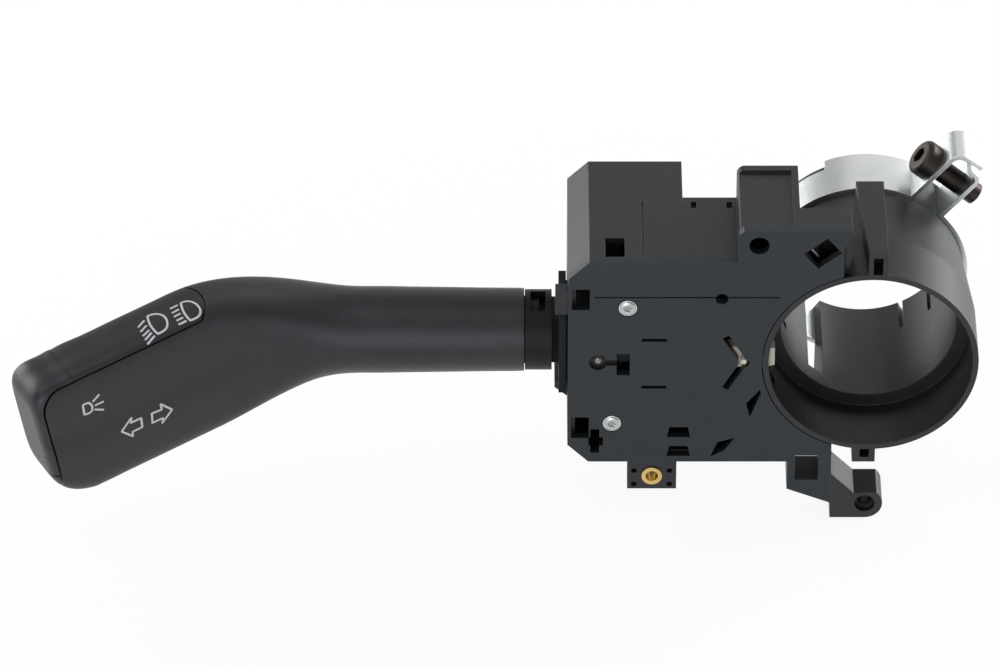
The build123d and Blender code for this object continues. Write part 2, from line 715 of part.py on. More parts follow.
    # slot for the stalk in the left wall, and its guards outside
    block((BODY_LEFT - PAST, INNER_LEFT + SEAM), (PLATE, FLOOR_FRONT), (-SLOT_HALF, SLOT_HALF), Mode.SUBTRACT)
    guard_left = BODY_LEFT - GUARD_REACH
    guard_up = (SLOT_HALF - GUARD_LAP, BODY_TOP - GUARD_SETBACK)
    block((guard_left, BODY_LEFT), (GUARD_FRONT, GUARD_BACK), guard_up)
    low_guard = [
        (guard_left, LOW_GUARD_LAP - SLOT_HALF),
        (BODY_LEFT, LOW_GUARD_LAP - SLOT_HALF),
        (BODY_LEFT, LOW_GUARD_SETBACK - BODY_TOP),
        (guard_left, LOW_GUARD_SETBACK + LOW_GUARD_SLOPE - BODY_TOP),
    ]
    polygon_prism(low_guard, (LOW_GUARD_FRONT, BODY_DEPTH))

    # top window, snap notches and panel line
    top_window_left = BODY_LEFT + TOP_WINDOW_INSET
    block(
        (top_window_left, top_window_left + TOP_WINDOW_WIDTH),
        (PLATE, PLATE + TOP_WINDOW_DEPTH),
        (INNER_TOP - PAST, BODY_TOP + PAST),
        Mode.SUBTRACT,
    )
    for inset in NOTCH_INSETS:
        notch_left = TOWER_LEFT - inset
        block(
            (notch_left, notch_left + NOTCH_WIDTH),
            (BODY_DEPTH - NOTCH_LENGTH, BODY_DEPTH),
            (BODY_TOP - NOTCH_DEPTH, BODY_TOP + PAST),
            Mode.SUBTRACT,
        )
    line_left = BODY_LEFT + PANEL_LINE_INSET
    block(
        (line_left, line_left + PANEL_LINE),
        (PLATE, BODY_DEPTH),
        (BODY_TOP - PANEL_LINE, BODY_TOP + PAST),
        Mode.SUBTRACT,
    )

    # screw bosses, the floor's bearing and the way for the drive pin
    for screw_x, screw_z in SCREW_PLACES:
        rod(screw_x, screw_z, SCREW_BOSS_R, (PLATE, FLOOR_FRONT))
        rod(screw_x, screw_z, SCREW_R, (PLATE, SCREW_LENGTH + SCREW_HOLE_OVER), Mode.SUBTRACT)
    rod(PIVOT_X, 0, RUNNING_R, (FLOOR_FRONT, BODY_DEPTH), Mode.SUBTRACT)
    drive_swing = ARM_REACH * math.sin(math.radians(TURN_RANGE)) + DRIVE_PIN_R + DRIVE_ROOM
    block(
        (DRIVE_X - DRIVE_PIN_R - DRIVE_ROOM_LEFT, DRIVE_X + DRIVE_PIN_R + DRIVE_ROOM),
        (FLOOR_FRONT, BODY_DEPTH),
        (-drive_swing, drive_swing),
        Mode.SUBTRACT,
    )

    # rails behind the floor for the turn signal slider
    rail_left = SLIDER_LEFT - RAIL_GAP
    rail_right = SLIDER_RIGHT + RAIL_GAP
    rail_depth = (BODY_DEPTH, SLIDER_BACK + SLIDER_ROOM)
    rail_half = SLIDER_HEIGHT / 2 + RAIL_OVER
    block((rail_left - RAIL, rail_left), rail_depth, (-rail_half, rail_half))
    block((rail_right, rail_right + THIN_RAIL), rail_depth, (-rail_half, rail_half))
    for screw_x, screw_z in BASE_SCREW_PLACES:
        rod(screw_x, screw_z, SCREW_R, (FLOOR_FRONT, BODY_DEPTH), Mode.SUBTRACT)
housing.part.label = "housing"
export_step(housing.part, "parts/housing.step")

# Front cover: the plate that faces the driver, with its windows, slots and pockets
with BuildPart() as front_cover:
    with BuildSketch(facing(PLATE)) as plate_outline:
        with BuildLine():
            Polyline(
                (BODY_LEFT + BODY_CORNER, BODY_TOP),
                (TOWER_LEFT, BODY_TOP),
                (TOWER_LEFT, TOWER_TOP - TOWER_PLATE_CUT),
                (TOWER_LEFT + TOWER_PLATE_CUT, TOWER_TOP),
                (-SHELF_END, TOWER_TOP),
                (-PLATE_EDGE, PLATE_SHOULDER),
                (-PLATE_EDGE, 0),
                (-BRACKET_RIGHT, 0),
                (-BRACKET_RIGHT, -BRACKET_LOW_RIGHT),
                (-BRACKET_LEFT, -BRACKET_LOW_LEFT),
                (-BRACKET_LEFT, -BODY_TOP),
                (BODY_LEFT + BODY_CORNER, -BODY_TOP),
                (BODY_LEFT, -BODY_TOP + BODY_CORNER),
                (BODY_LEFT, BODY_TOP - BODY_CORNER),
                close=True,
            )
        make_face()
        Circle(RING_OUTER + SEAM, mode=Mode.SUBTRACT)
    extrude(amount=PLATE)

    # bearing for the turning frame, its round mouth and the slot and window beside it
    rod(PIVOT_X, 0, BEARING_R, (PLATE, PLATE + BEARING_LENGTH))
    rod(PIVOT_X, 0, RUNNING_R, (0, PLATE + BEARING_LENGTH), Mode.SUBTRACT)
    rod(PIVOT_X, 0, PIN_COUNTERSINK_R, (0, PIN_COUNTERSINK), Mode.SUBTRACT)
    key_slot = (PIVOT_X, PIVOT_X + KEY_SLOT_END)
    block(key_slot, (0, PIN_COUNTERSINK), (-KEY_SLOT_HALF, KEY_SLOT_HALF), Mode.SUBTRACT)
    block((PIVOT_X + KEY_WINDOW[0], PIVOT_X + KEY_WINDOW[1]), (0, PLATE), KEY_WINDOW_UP, Mode.SUBTRACT)

    # screw seats
    for screw_x, screw_z in SCREW_PLACES:
        rod(screw_x, screw_z, SCREW_R + SCREW_SHANK_ROOM, (0, PLATE), Mode.SUBTRACT)
        rod(screw_x, screw_z, SCREW_HEAD_R + SCREW_HEAD_ROOM, (0, SCREW_HEAD), Mode.SUBTRACT)

    # long groove and the two round holes
    block(
        (BODY_LEFT + GROOVE_INSET_LEFT, BODY_RIGHT - GROOVE_INSET_RIGHT),
        (0, GROOVE_DEPTH),
        (GROOVE_Z - GROOVE_WIDTH / 2, GROOVE_Z + GROOVE_WIDTH / 2),
        Mode.SUBTRACT,
    )
    rod(PAWL_X - PEG_HOLE_X, GROOVE_Z - PEG_HOLE_DROP, PEG_HOLE_R, (0, PLATE), Mode.SUBTRACT)
    rod(LOCATING_X, LOCATING_Z, LOCATING_R, (0, PLATE), Mode.SUBTRACT)

    # thin slots, corner windows and the cross-shaped opening
    thin_left = PIVOT_X + THIN_SLOT_START
    for slot_z in THIN_SLOTS_Z:
        slot_up = (slot_z - THIN_SLOT_WIDTH / 2, slot_z + THIN_SLOT_WIDTH / 2)
        block((thin_left, thin_left + THIN_SLOT_LENGTH), (0, PLATE), slot_up, Mode.SUBTRACT)
    corner_left = BODY_LEFT + CORNER_INSET
    for low_drop, high_drop in CORNER_WINDOWS:
        corner_up = (BODY_TOP - low_drop, BODY_TOP - high_drop)
        block((corner_left, corner_left + CORNER_WIDTH), (0, PLATE), corner_up, Mode.SUBTRACT)
    for inset, width, span in (
        (CROSS_INSET, CROSS_WIDTH, CROSS_SPAN),
        (CROSS_ARM_INSET, CROSS_ARM_WIDTH, CROSS_ARM_SPAN),
    ):
        cross_up = (span[0] - BODY_TOP, span[1] - BODY_TOP)
        block((BODY_LEFT + inset, BODY_LEFT + inset + width), (0, PLATE), cross_up, Mode.SUBTRACT)

    # snap pockets with sloping sides
    pocket_x = BODY_LEFT + POCKET_INSET
    for rise in POCKET_RISES:
        pocket_top = rise - BODY_TOP
        snap_pocket = [
            (pocket_x - POCKET_HALF_TOP, pocket_top),
            (pocket_x + POCKET_HALF_TOP, pocket_top),
            (pocket_x + POCKET_HALF_LOW, pocket_top - POCKET_HEIGHT),
            (pocket_x - POCKET_HALF_LOW, pocket_top - POCKET_HEIGHT),
        ]
        polygon_prism(snap_pocket, (0, PLATE), Mode.SUBTRACT)

    # V slot for the pawl's pin, with a wider apex
    with BuildSketch(facing(0)) as v_slot:
        with Locations((PAWL_X, 0)):
            Circle(V_APEX_R)
        for side in (1, -1):
            reach = V_LENGTH / 2
            arm_x = PAWL_X - reach * math.cos(math.radians(V_ANGLE))
            arm_z = side * reach * math.sin(math.radians(V_ANGLE))
            with Locations(Location((arm_x, arm_z), side * -V_ANGLE)):
                Rectangle(V_LENGTH, V_WIDTH)
    extrude(amount=-PLATE, mode=Mode.SUBTRACT)

    # kite-shaped openings near the ring
    high_kite = [(-RING_OUTER - away, z) for away, z in HIGH_KITE]
    polygon_prism(high_kite, (0, PLATE), Mode.SUBTRACT)
    low_kite = [(-RING_OUTER - away, rise - BODY_TOP) for away, rise in LOW_KITE]
    polygon_prism(low_kite, (0, PLATE), Mode.SUBTRACT)

    # tilted window over the clip, and the square hole in the bracket
    with BuildSketch(facing(0)) as tilted:
        with Locations(Location((CLIP_X, CLIP_Z), CLIP_ANGLE)):
            Rectangle(CLIP_WINDOW_LENGTH, CLIP_WINDOW_WIDTH)
    extrude(amount=-PLATE, mode=Mode.SUBTRACT)
    block(HOLE_ACROSS, (0, PLATE), HOLE_UP, Mode.SUBTRACT)

    # seat for the pawl's spring
    block(
        (SPRING_SEAT_X - SPRING_SEAT, SPRING_SEAT_X),
        (PLATE, PLATE + PAWL_THICKNESS + SPRING_SEAT_OVER),
        (PAWL_SPRING_Z - SPRING_SEAT, PAWL_SPRING_Z + SPRING_SEAT_UP),
    )
front_cover.part.label = "front_cover"
export_step(front_cover.part, "parts/front_cover.step")

# Rear block: walls, a partition and two plug sockets open to the rear
socket_across = (BASE_MIDDLE - SOCKET_WIDTH / 2, BASE_MIDDLE + SOCKET_WIDTH / 2)
partition_middle = FRONT_Y + middle((PARTITION_FRONT, PARTITION_BACK))
with BuildPart() as rear_base:
    polygon_prism(body_outline(BODY_LEFT, BASE_RIGHT, BODY_TOP, BODY_CORNER), (BODY_DEPTH, BASE_BACK))
    base_inside = body_outline(INNER_LEFT, BASE_RIGHT - WALL, INNER_TOP, INNER_CORNER)
    polygon_prism(base_inside, (BODY_DEPTH, PARTITION_FRONT), Mode.SUBTRACT)
    for socket_up in ((SOCKET_LOW, SOCKET_TOP), (-SOCKET_TOP, -SOCKET_LOW)):
        block(socket_across, (PARTITION_BACK, BASE_BACK), socket_up, Mode.SUBTRACT)
    for screw_x, screw_z in BASE_SCREW_PLACES:
        rod(screw_x, screw_z, SCREW_BOSS_R, (BODY_DEPTH, PARTITION_FRONT))
        rod(screw_x, screw_z, SCREW_R, (BODY_DEPTH, BASE_BACK), Mode.SUBTRACT)
        rod(screw_x, screw_z, SCREW_HEAD_R + SCREW_HEAD_ROOM, (PARTITION_BACK, BASE_BACK), Mode.SUBTRACT)
    with Locations(*[(x, partition_middle, z) for x, z in BLADES]):
        Box(BLADE_THICKNESS, BASE_PARTITION, BLADE_WIDTH, mode=Mode.SUBTRACT)
rear_base.part.label = "rear_base"
export_step(rear_base.part, "parts/rear_base.step")

# Contact plate behind the slider, its tracks, and the blades of the main plugs
with BuildPart() as contact_plate:
    plate_across = (INNER_LEFT + SEAM, BASE_RIGHT - WALL - SEAM)
    block(plate_across, (BOARD_DEPTH, PARTITION_FRONT), (-BOARD_HALF, BOARD_HALF))
contact_plate.part.label = "contact_plate"
export_step(contact_plate.part, "parts/contact_plate.step")

with BuildPart() as contact_tracks:
    track_up = (TRACK_INSET - BOARD_HALF, BOARD_HALF - TRACK_INSET)
    for track_x in TRACKS_X:
        block((track_x - TRACK_HALF, track_x + TRACK_HALF), (BOARD_DEPTH - TRACK, BOARD_DEPTH), track_up)
contact_tracks.part.label = "contact_tracks"
export_step(contact_tracks.part, "parts/contact_tracks.step")

with BuildPart() as main_blades:
    blade_span = (PARTITION_FRONT, PARTITION_BACK + BLADE_REACH)
    with Locations(*[(x, FRONT_Y + middle(blade_span), z) for x, z in BLADES]):
        Box(BLADE_THICKNESS, blade_span[1] - blade_span[0], BLADE_WIDTH)
main_blades.part.label = "main_blades"
export_step(main_blades.part, "parts/main_blades.step")

with BuildPart() as side_blades:
    side_span = (pocket_back, TOWER_BACK_WALL + SIDE_BLADE_REACH)
    with Locations(*[(x, FRONT_Y + middle(side_span), SIDE_BLADE_Z) for x in SIDE_BLADES_X]):
        Box(BLADE_THICKNESS, side_span[1] - side_span[0], BLADE_WIDTH)
side_blades.part.label = "side_blades"
export_step(side_blades.part, "parts/side_blades.step")

# Fasteners
with BuildPart() as cover_screws:
    for screw_x, screw_z in SCREW_PLACES:
        rod(screw_x, screw_z, SCREW_HEAD_R, (0, SCREW_HEAD))
        rod(screw_x, screw_z, SCREW_R, (SCREW_HEAD, SCREW_LENGTH))
        with BuildSketch(facing(0)) as recess:
            with Locations((screw_x, screw_z)):
                Circle(SCREW_RECESS_R)
                with PolarLocations(SCREW_RECESS_R, 6):
                    Circle(SCREW_LOBE_R)
        extrude(amount=-SCREW_RECESS_DEPTH, mode=Mode.SUBTRACT)
cover_screws.part.label = "cover_screws"
export_step(cover_screws.part, "parts/cover_screws.step")

with BuildPart() as base_screws:
    for screw_x, screw_z in BASE_SCREW_PLACES:
        rod(screw_x, screw_z, SCREW_HEAD_R, (PARTITION_BACK, PARTITION_BACK + SCREW_HEAD))
        rod(screw_x, screw_z, SCREW_R, (FLOOR_FRONT, PARTITION_BACK))
base_screws.part.label = "base_screws"
export_step(base_screws.part, "parts/base_screws.step")

with BuildPart() as brass_insert:
    rod(TAB_X, INSERT_Z, INSERT_R, (TAB_SETBACK, TAB_BACK))
    rod(TAB_X, INSERT_Z, INSERT_FLANGE_R, (TAB_SETBACK - INSERT_FLANGE, TAB_SETBACK))
    rod(TAB_X, INSERT_Z, INSERT_BORE, (TAB_SETBACK - INSERT_FLANGE, TAB_BACK), Mode.SUBTRACT)
brass_insert.part.label = "brass_insert"
export_step(brass_insert.part, "parts/brass_insert.step")

# Small bent clip behind the tilted window
with BuildPart() as spring_clip:
    clip_back = SHELF_DEPTH - SHELF_WALL
    clip_width = CLIP_WINDOW_WIDTH - 2 * CLIP_MARGIN
    with BuildSketch(facing(clip_back)) as clip_foot:
        with Locations(Location((CLIP_X, CLIP_Z), CLIP_ANGLE)):
            Rectangle(CLIP_WINDOW_LENGTH - 2 * CLIP_MARGIN + CLIP_SHEET, clip_width)
    extrude(amount=CLIP_SHEET)
    with BuildSketch(facing(clip_back)) as clip_leaf:
        with Locations(Location((CLIP_X, CLIP_Z), CLIP_ANGLE)):
            with Locations((CLIP_MARGIN - CLIP_WINDOW_LENGTH / 2, 0)):
                Rectangle(CLIP_SHEET, clip_width)
    extrude(amount=clip_back - PLATE - CLIP_MARGIN)
spring_clip.part.label = "spring_clip"
export_step(spring_clip.part, "parts/spring_clip.step")

# Clamp band: a strip round the sleeve whose two ends stand up as ears
clamp_turn = math.radians(CLAMP_ANGLE)
clamp_plane = Plane(
    origin=(0, FRONT_Y + BAND_FRONT, 0),
    x_dir=(math.sin(clamp_turn), 0, -math.cos(clamp_turn)),
    z_dir=(0, -1, 0),
)
left_root = math.sqrt(BAND_R**2 - EAR_LEFT**2) - EAR_ROOT
right_root = math.sqrt(BAND_R**2 - EAR_RIGHT**2) - EAR_ROOT
short_ear_top = EAR_TOP - SHORT_EAR_DROP
bolt_plane = Plane(
    origin=clamp_plane.from_local_coords(Vector(EAR_LEFT - BAND / 2, BOLT_LINE, -EAR_WIDTH / 2)),
    x_dir=(0, 1, 0),
    z_dir=clamp_plane.x_dir,
)
with BuildPart() as clamp_band:
    with BuildSketch(clamp_plane) as ring_strip:
        Circle(SLEEVE_R + BAND)
        Circle(SLEEVE_R, mode=Mode.SUBTRACT)
        with Locations((middle((EAR_LEFT, EAR_RIGHT)), BAND_R)):
            Rectangle(EAR_RIGHT - EAR_LEFT - BAND, BAND_R, mode=Mode.SUBTRACT)
    extrude(amount=-BAND_WIDTH)
    with BuildSketch(clamp_plane) as ears:
        with BuildLine():
            FilletPolyline(
                (EAR_LEFT, left_root),
                (EAR_LEFT, EAR_TOP),
                (EAR_LEFT + EAR_HOOK, EAR_TOP + EAR_HOOK_RISE),
                radius=EAR_BEND,
            )
        trace(line_width=BAND)
        with BuildLine():
            FilletPolyline(
                (EAR_RIGHT, right_root),
                (EAR_RIGHT, short_ear_top),
                (EAR_RIGHT - SHORT_EAR_HOOK, short_ear_top + SHORT_EAR_HOOK_RISE),
                radius=SHORT_EAR_BEND,
            )
        trace(line_width=BAND)
    extrude(amount=-EAR_WIDTH)
    with BuildSketch(bolt_plane) as bolt_hole:
        Circle(BOLT_R)
    extrude(amount=EAR_RIGHT - EAR_LEFT + BAND, mode=Mode.SUBTRACT)
    block(
        (-SLEEVE_R - BAND, BAND_STEP_X),
        (BAND_FRONT + BAND_WIDTH - BAND_STEP, BAND_FRONT + BAND_WIDTH),
        (0, SLEEVE_R + BAND),
        Mode.SUBTRACT,
    )
clamp_band.part.label = "clamp_band"
export_step(clamp_band.part, "parts/clamp_band.step")

with BuildPart() as clamp_bolt:
    with BuildSketch(bolt_plane.offset(-BOLT_HEAD)) as bolt_head:
        Circle(BOLT_HEAD_R)
    extrude(amount=BOLT_HEAD)
    head_face = clamp_bolt.faces().sort_by(Axis(bolt_plane.origin, bolt_plane.z_dir))[0]
    fillet(head_face.edges(), BOLT_HEAD_ROUND)
    with BuildSketch(bolt_plane) as bolt_shank:
        Circle(BOLT_R)
    extrude(amount=BOLT_LENGTH)
    with BuildSketch(bolt_plane.offset(-BOLT_HEAD)) as bolt_socket:
        RegularPolygon(BOLT_SOCKET / 2, 6, major_radius=False)
    extrude(amount=BOLT_SOCKET_DEPTH, mode=Mode.SUBTRACT)
clamp_bolt.part.label = "clamp_bolt"
export_step(clamp_bolt.part, "parts/clamp_bolt.step")

# Turning frame: a square tube round the stalk's bar, with an arm at the front and one at the back
with BuildPart() as rotor:
    block((FRAME_LEFT, FRAME_RIGHT), (FRAME_FRONT, FRAME_BACK), (-FRAME_HALF_Z, FRAME_HALF_Z))
    block((FRAME_LEFT, FRAME_RIGHT), (WINDOW_FRONT, WINDOW_BACK), (-EAR_INNER, EAR_INNER), Mode.SUBTRACT)
    ear_outer = EAR_INNER + FRAME_EAR
    for waist in ((ear_outer, FRAME_HALF_Z), (-FRAME_HALF_Z, -ear_outer)):
        block((FRAME_LEFT, PIVOT_X - FRAME_HALF_X), (FRAME_FRONT, FRAME_BACK), waist, Mode.SUBTRACT)
    block(
        (PIVOT_X + BEARING_R + ARM_ROOM, PAWL_TAIL - CANCEL_ARM_GAP),
        (FRAME_FRONT - ARM_THICKNESS, FRAME_FRONT + BRIDGE_LIFT),
        (-CANCEL_ARM_HALF, CANCEL_ARM_HALF),
    )
    drive_depth = (FRAME_BACK - ARM_ROOM - ARM_THICKNESS, FRAME_BACK - ARM_ROOM)
    block((PIVOT_X + BEARING_R, DRIVE_X + ARM_OVER_PIN), drive_depth, (-ARM_HALF, ARM_HALF))
    rod(DRIVE_X, 0, DRIVE_PIN_R, (drive_depth[0], SLIDER_BACK - DRIVE_PIN_SHORT))
    rod(PIVOT_X, 0, PIN_R, (FRAME_FRONT, WINDOW_FRONT), Mode.SUBTRACT)
    rod(PIVOT_X, 0, PIN_R, (WINDOW_BACK, FRAME_BACK), Mode.SUBTRACT)
    upright(PIVOT_X, PIVOT_Y, PIN_R, (-FRAME_HALF_Z, FRAME_HALF_Z), Mode.SUBTRACT)
rotor.part.label = "rotor"
export_step(rotor.part, "parts/rotor.step")

with BuildPart() as rotor_pins:
    rod(PIVOT_X, 0, PIN_R, (PIN_SETBACK, WINDOW_FRONT))
    rod(PIVOT_X, 0, PIN_R, (WINDOW_BACK, BODY_DEPTH))
rotor_pins.part.label = "rotor_pins"
export_step(rotor_pins.part, "parts/rotor_pins.step")

with BuildPart() as dust_shield:
    shield_across = (FRAME_LEFT - SHIELD_THICKNESS, FRAME_LEFT)
    block(shield_across, (SHIELD_FRONT, FRAME_BACK), (-SHIELD_HALF, SHIELD_HALF))
    block(shield_across, (WINDOW_FRONT, WINDOW_BACK), (-EAR_INNER, EAR_INNER), Mode.SUBTRACT)
dust_shield.part.label = "dust_shield"
export_step(dust_shield.part, "parts/dust_shield.step")

with BuildPart() as lever_pin:
    upright(PIVOT_X, PIVOT_Y, PIN_R, (-FRAME_HALF_Z, FRAME_HALF_Z))
lever_pin.part.label = "lever_pin"
export_step(lever_pin.part, "parts/lever_pin.step")


# Stalk: a centre line that runs straight, bends towards the driver and runs on to the tip
straight_dir = Vector(-1, 0, 0)
paddle_dir = Vector(
    -math.cos(math.radians(BEND_DOWN)) * math.cos(math.radians(BEND_TO_DRIVER)),
    -math.cos(math.radians(BEND_DOWN)) * math.sin(math.radians(BEND_TO_DRIVER)),
    -math.sin(math.radians(BEND_DOWN)),
)
inward = (paddle_dir - straight_dir * straight_dir.dot(paddle_dir)).normalized()
stalk_start = Vector(PIVOT_X - SHELL_START, PIVOT_Y, 0)
bend_start = stalk_start + straight_dir * STRAIGHT
BEND_LENGTH = BEND_R * math.radians(BEND_ANGLE)
STALK_LENGTH = STRAIGHT + BEND_LENGTH + PADDLE_LENGTH


def stalk_point(distance):
    """Return the centre line's point and direction at a distance from the shells' start."""
    if distance <= STRAIGHT:
        return stalk_start + straight_dir * distance, straight_dir
    turned = min(distance - STRAIGHT, BEND_LENGTH) / BEND_R
    point = bend_start + straight_dir * (BEND_R * math.sin(turned))
    point = point + inward * (BEND_R * (1 - math.cos(turned)))
    direction = straight_dir * math.cos(turned) + inward * math.sin(turned)
    rest = max(distance - STRAIGHT - BEND_LENGTH, 0)
    return point + direction * rest, direction


def stalk_plane(distance):
    """Return the section plane there: x towards the driver, y up, z along the stalk."""
    point, direction = stalk_point(distance)
    up = (Vector(0, 0, 1) - direction * direction.Z).normalized()
    return Plane(origin=point, x_dir=up.cross(direction), z_dir=direction)


def drop(to_tip, radius):
    """Return how far a corner of that radius has fallen away at a distance from the tip."""
    inside = min(max(radius - to_tip, 0), radius)
    return radius - math.sqrt(radius**2 - inside**2)


def section_points(distance, inset, count=28):
    """Return points round the section there, drawn in by an inset.

    It goes from a circle at the neck to a rounded rectangle at the paddle.
    """
    share = min(max((distance - SWELL_START) / SWELL_LENGTH, 0), 1)
    swell = share * share * (3 - 2 * share)
    start_share = min(max(distance / STRAIGHT, 0), 1)
    neck = 2 * NECK_R + (STALK_D - 2 * NECK_R) * start_share
    to_tip = STALK_LENGTH - distance
    low_drop = drop(to_tip, TIP_ROUND_LOW)
    top_drop = drop(to_tip, TIP_ROUND_TOP)
    thickness = neck + (PADDLE_THICKNESS - neck) * swell - 2 * drop(to_tip, TIP_ROUND_FACE) - 2 * inset
    height = neck + (PADDLE_HEIGHT - neck) * swell - low_drop - top_drop - 2 * inset
    squareness = 2 + (PADDLE_SQUARENESS - 2) * swell
    points = []
    for step in range(count):
        angle = 2 * math.pi * step / count
        across = math.copysign(abs(math.cos(angle)) ** (2 / squareness), math.cos(angle))
        up = math.copysign(abs(math.sin(angle)) ** (2 / squareness), math.sin(angle))
        points.append((across * thickness / 2, up * height / 2 + (low_drop - top_drop) / 2))
    return points


def stalk_section(distance, inset):
    """Return the section's face there."""
    with BuildSketch(stalk_plane(distance), mode=Mode.PRIVATE) as section:
        with BuildLine():
            Spline(*section_points(distance, inset), periodic=True)
        make_face()
    return section.sketch.face()


def stalk_form(inset, start, end):
    """Return the stalk's solid form, drawn in by an inset, between two distances."""
    tip_start = STALK_LENGTH - TIP_ROUND_LOW
    shaft = [start] + [tip_start * number / STALK_STATIONS for number in range(1, STALK_STATIONS + 1)]
    turns = [math.pi / 2 * number / TIP_STATIONS for number in range(TIP_STATIONS)]
    tip = [STALK_LENGTH - TIP_ROUND_LOW * (1 - math.sin(turn)) for turn in turns]
    tip = [distance for distance in tip if distance < end] + [end]
    with BuildPart() as form:
        loft([stalk_section(distance, inset) for distance in shaft])
        loft([stalk_section(distance, inset) for distance in tip])
    return form.part


def cap_form(clearance):
    """Return the space of the cap: the top down to the pad's edge, with a round tongue, and the end."""
    tip = stalk_plane(STALK_LENGTH)
    tongue_r = PADDLE_THICKNESS / 2 + CAP_TONGUE
    straight_part = CAP_LENGTH - tongue_r
    low = PADDLE_HEIGHT / 2 - CAP_THICKNESS + clearance
    front = clearance - CAP_END
    corner = PAD_CORNER * (1 - math.sqrt(0.5))
    side_view = Plane(origin=tip.origin, x_dir=tip.z_dir, z_dir=-tip.x_dir)
    above = Plane(origin=tip.origin, x_dir=tip.x_dir, z_dir=tip.y_dir)
    with BuildPart() as form:
        with BuildSketch(side_view):
            with BuildLine():
                Polyline(
                    (front - PAD_CORNER, low),
                    (-CAP_LENGTH - PAST, low),
                    (-CAP_LENGTH - PAST, PADDLE_HEIGHT),
                    (CAP_END, PADDLE_HEIGHT),
                    (CAP_END, -PADDLE_HEIGHT),
                    (front, -PADDLE_HEIGHT),
                    (front, low - PAD_CORNER),
                )
                ThreePointArc(
                    (front, low - PAD_CORNER),
                    (front - corner, low - corner),
                    (front - PAD_CORNER, low),
                )
            make_face()
        extrude(amount=PADDLE_THICKNESS, both=True)
        with BuildSketch(above):
            with Locations((0, (straight_part - PAST) / 2)):
                Rectangle(4 * tongue_r, straight_part + 2 * CAP_END)
            with Locations((0, straight_part)):
                Circle(tongue_r - clearance)
        extrude(amount=2 * PADDLE_HEIGHT, both=True, mode=Mode.INTERSECT)
    return form.part


def driver_side():
    """Return the space on the driver's side of the stalk's centre line."""
    far = SPLIT_FAR
    first, _ = stalk_point(0)
    mid, _ = stalk_point(STRAIGHT + BEND_LENGTH / 2)
    bend, _ = stalk_point(STRAIGHT)
    over, direction = stalk_point(STRAIGHT + BEND_LENGTH)
    last, _ = stalk_point(STALK_LENGTH + SPLIT_PAST)
    with BuildPart() as form:
        with BuildSketch(Plane.XY.offset(-far)):
            with BuildLine():
                Line((first.X + SPLIT_PAST, first.Y), (bend.X, bend.Y))
                ThreePointArc((bend.X, bend.Y), (mid.X, mid.Y), (over.X, over.Y))
                Polyline(
                    (over.X, over.Y),
                    (last.X, last.Y),
                    (last.X, last.Y - far),
                    (first.X + SPLIT_PAST, last.Y - far),
                    (first.X + SPLIT_PAST, first.Y),
                )
            make_face()
        extrude(amount=2 * far)
    return form.part


stalk_outer = stalk_form(0, 0, STALK_LENGTH)
stalk_inner = stalk_form(SHELL_WALL, -SHELL_WALL, STALK_LENGTH - SHELL_WALL)
driver_half = driver_side()
cap_space = cap_form(0)
with BuildPart() as stalk_skin:
    add(stalk_outer)
    add(stalk_inner, mode=Mode.SUBTRACT)

with BuildPart() as lever_front_shell:
    add(stalk_skin.part)
    add(cap_space, mode=Mode.SUBTRACT)
    add(driver_half, mode=Mode.INTERSECT)
lever_front_shell.part.label = "lever_front_shell"
export_step(lever_front_shell.part, "parts/lever_front_shell.step")

with BuildPart() as lever_rear_shell:
    add(stalk_skin.part)
    add(cap_space, mode=Mode.SUBTRACT)
    add(driver_half, mode=Mode.SUBTRACT)
lever_rear_shell.part.label = "lever_rear_shell"
export_step(lever_rear_shell.part, "parts/lever_rear_shell.step")

tip_plane = stalk_plane(STALK_LENGTH)
blank_top = Plane(
    origin=tip_plane.origin - tip_plane.y_dir * (PADDLE_HEIGHT / 2 - BLANK_HEIGHT),
    x_dir=tip_plane.x_dir,
    z_dir=tip_plane.y_dir,
)
with BuildPart() as lever_cap:
    add(stalk_skin.part)
    add(cap_form(SHELL_SEAM), mode=Mode.INTERSECT)
    split(bisect_by=blank_top.offset(SHELL_SEAM), keep=Keep.TOP)
lever_cap.part.label = "lever_cap"
export_step(lever_cap.part, "parts/lever_cap.step")

with BuildPart() as end_blank:
    add(stalk_skin.part)
    add(cap_form(SHELL_SEAM), mode=Mode.INTERSECT)
    split(bisect_by=blank_top, keep=Keep.BOTTOM)
end_blank.part.label = "end_blank"
export_step(end_blank.part, "parts/end_blank.step")

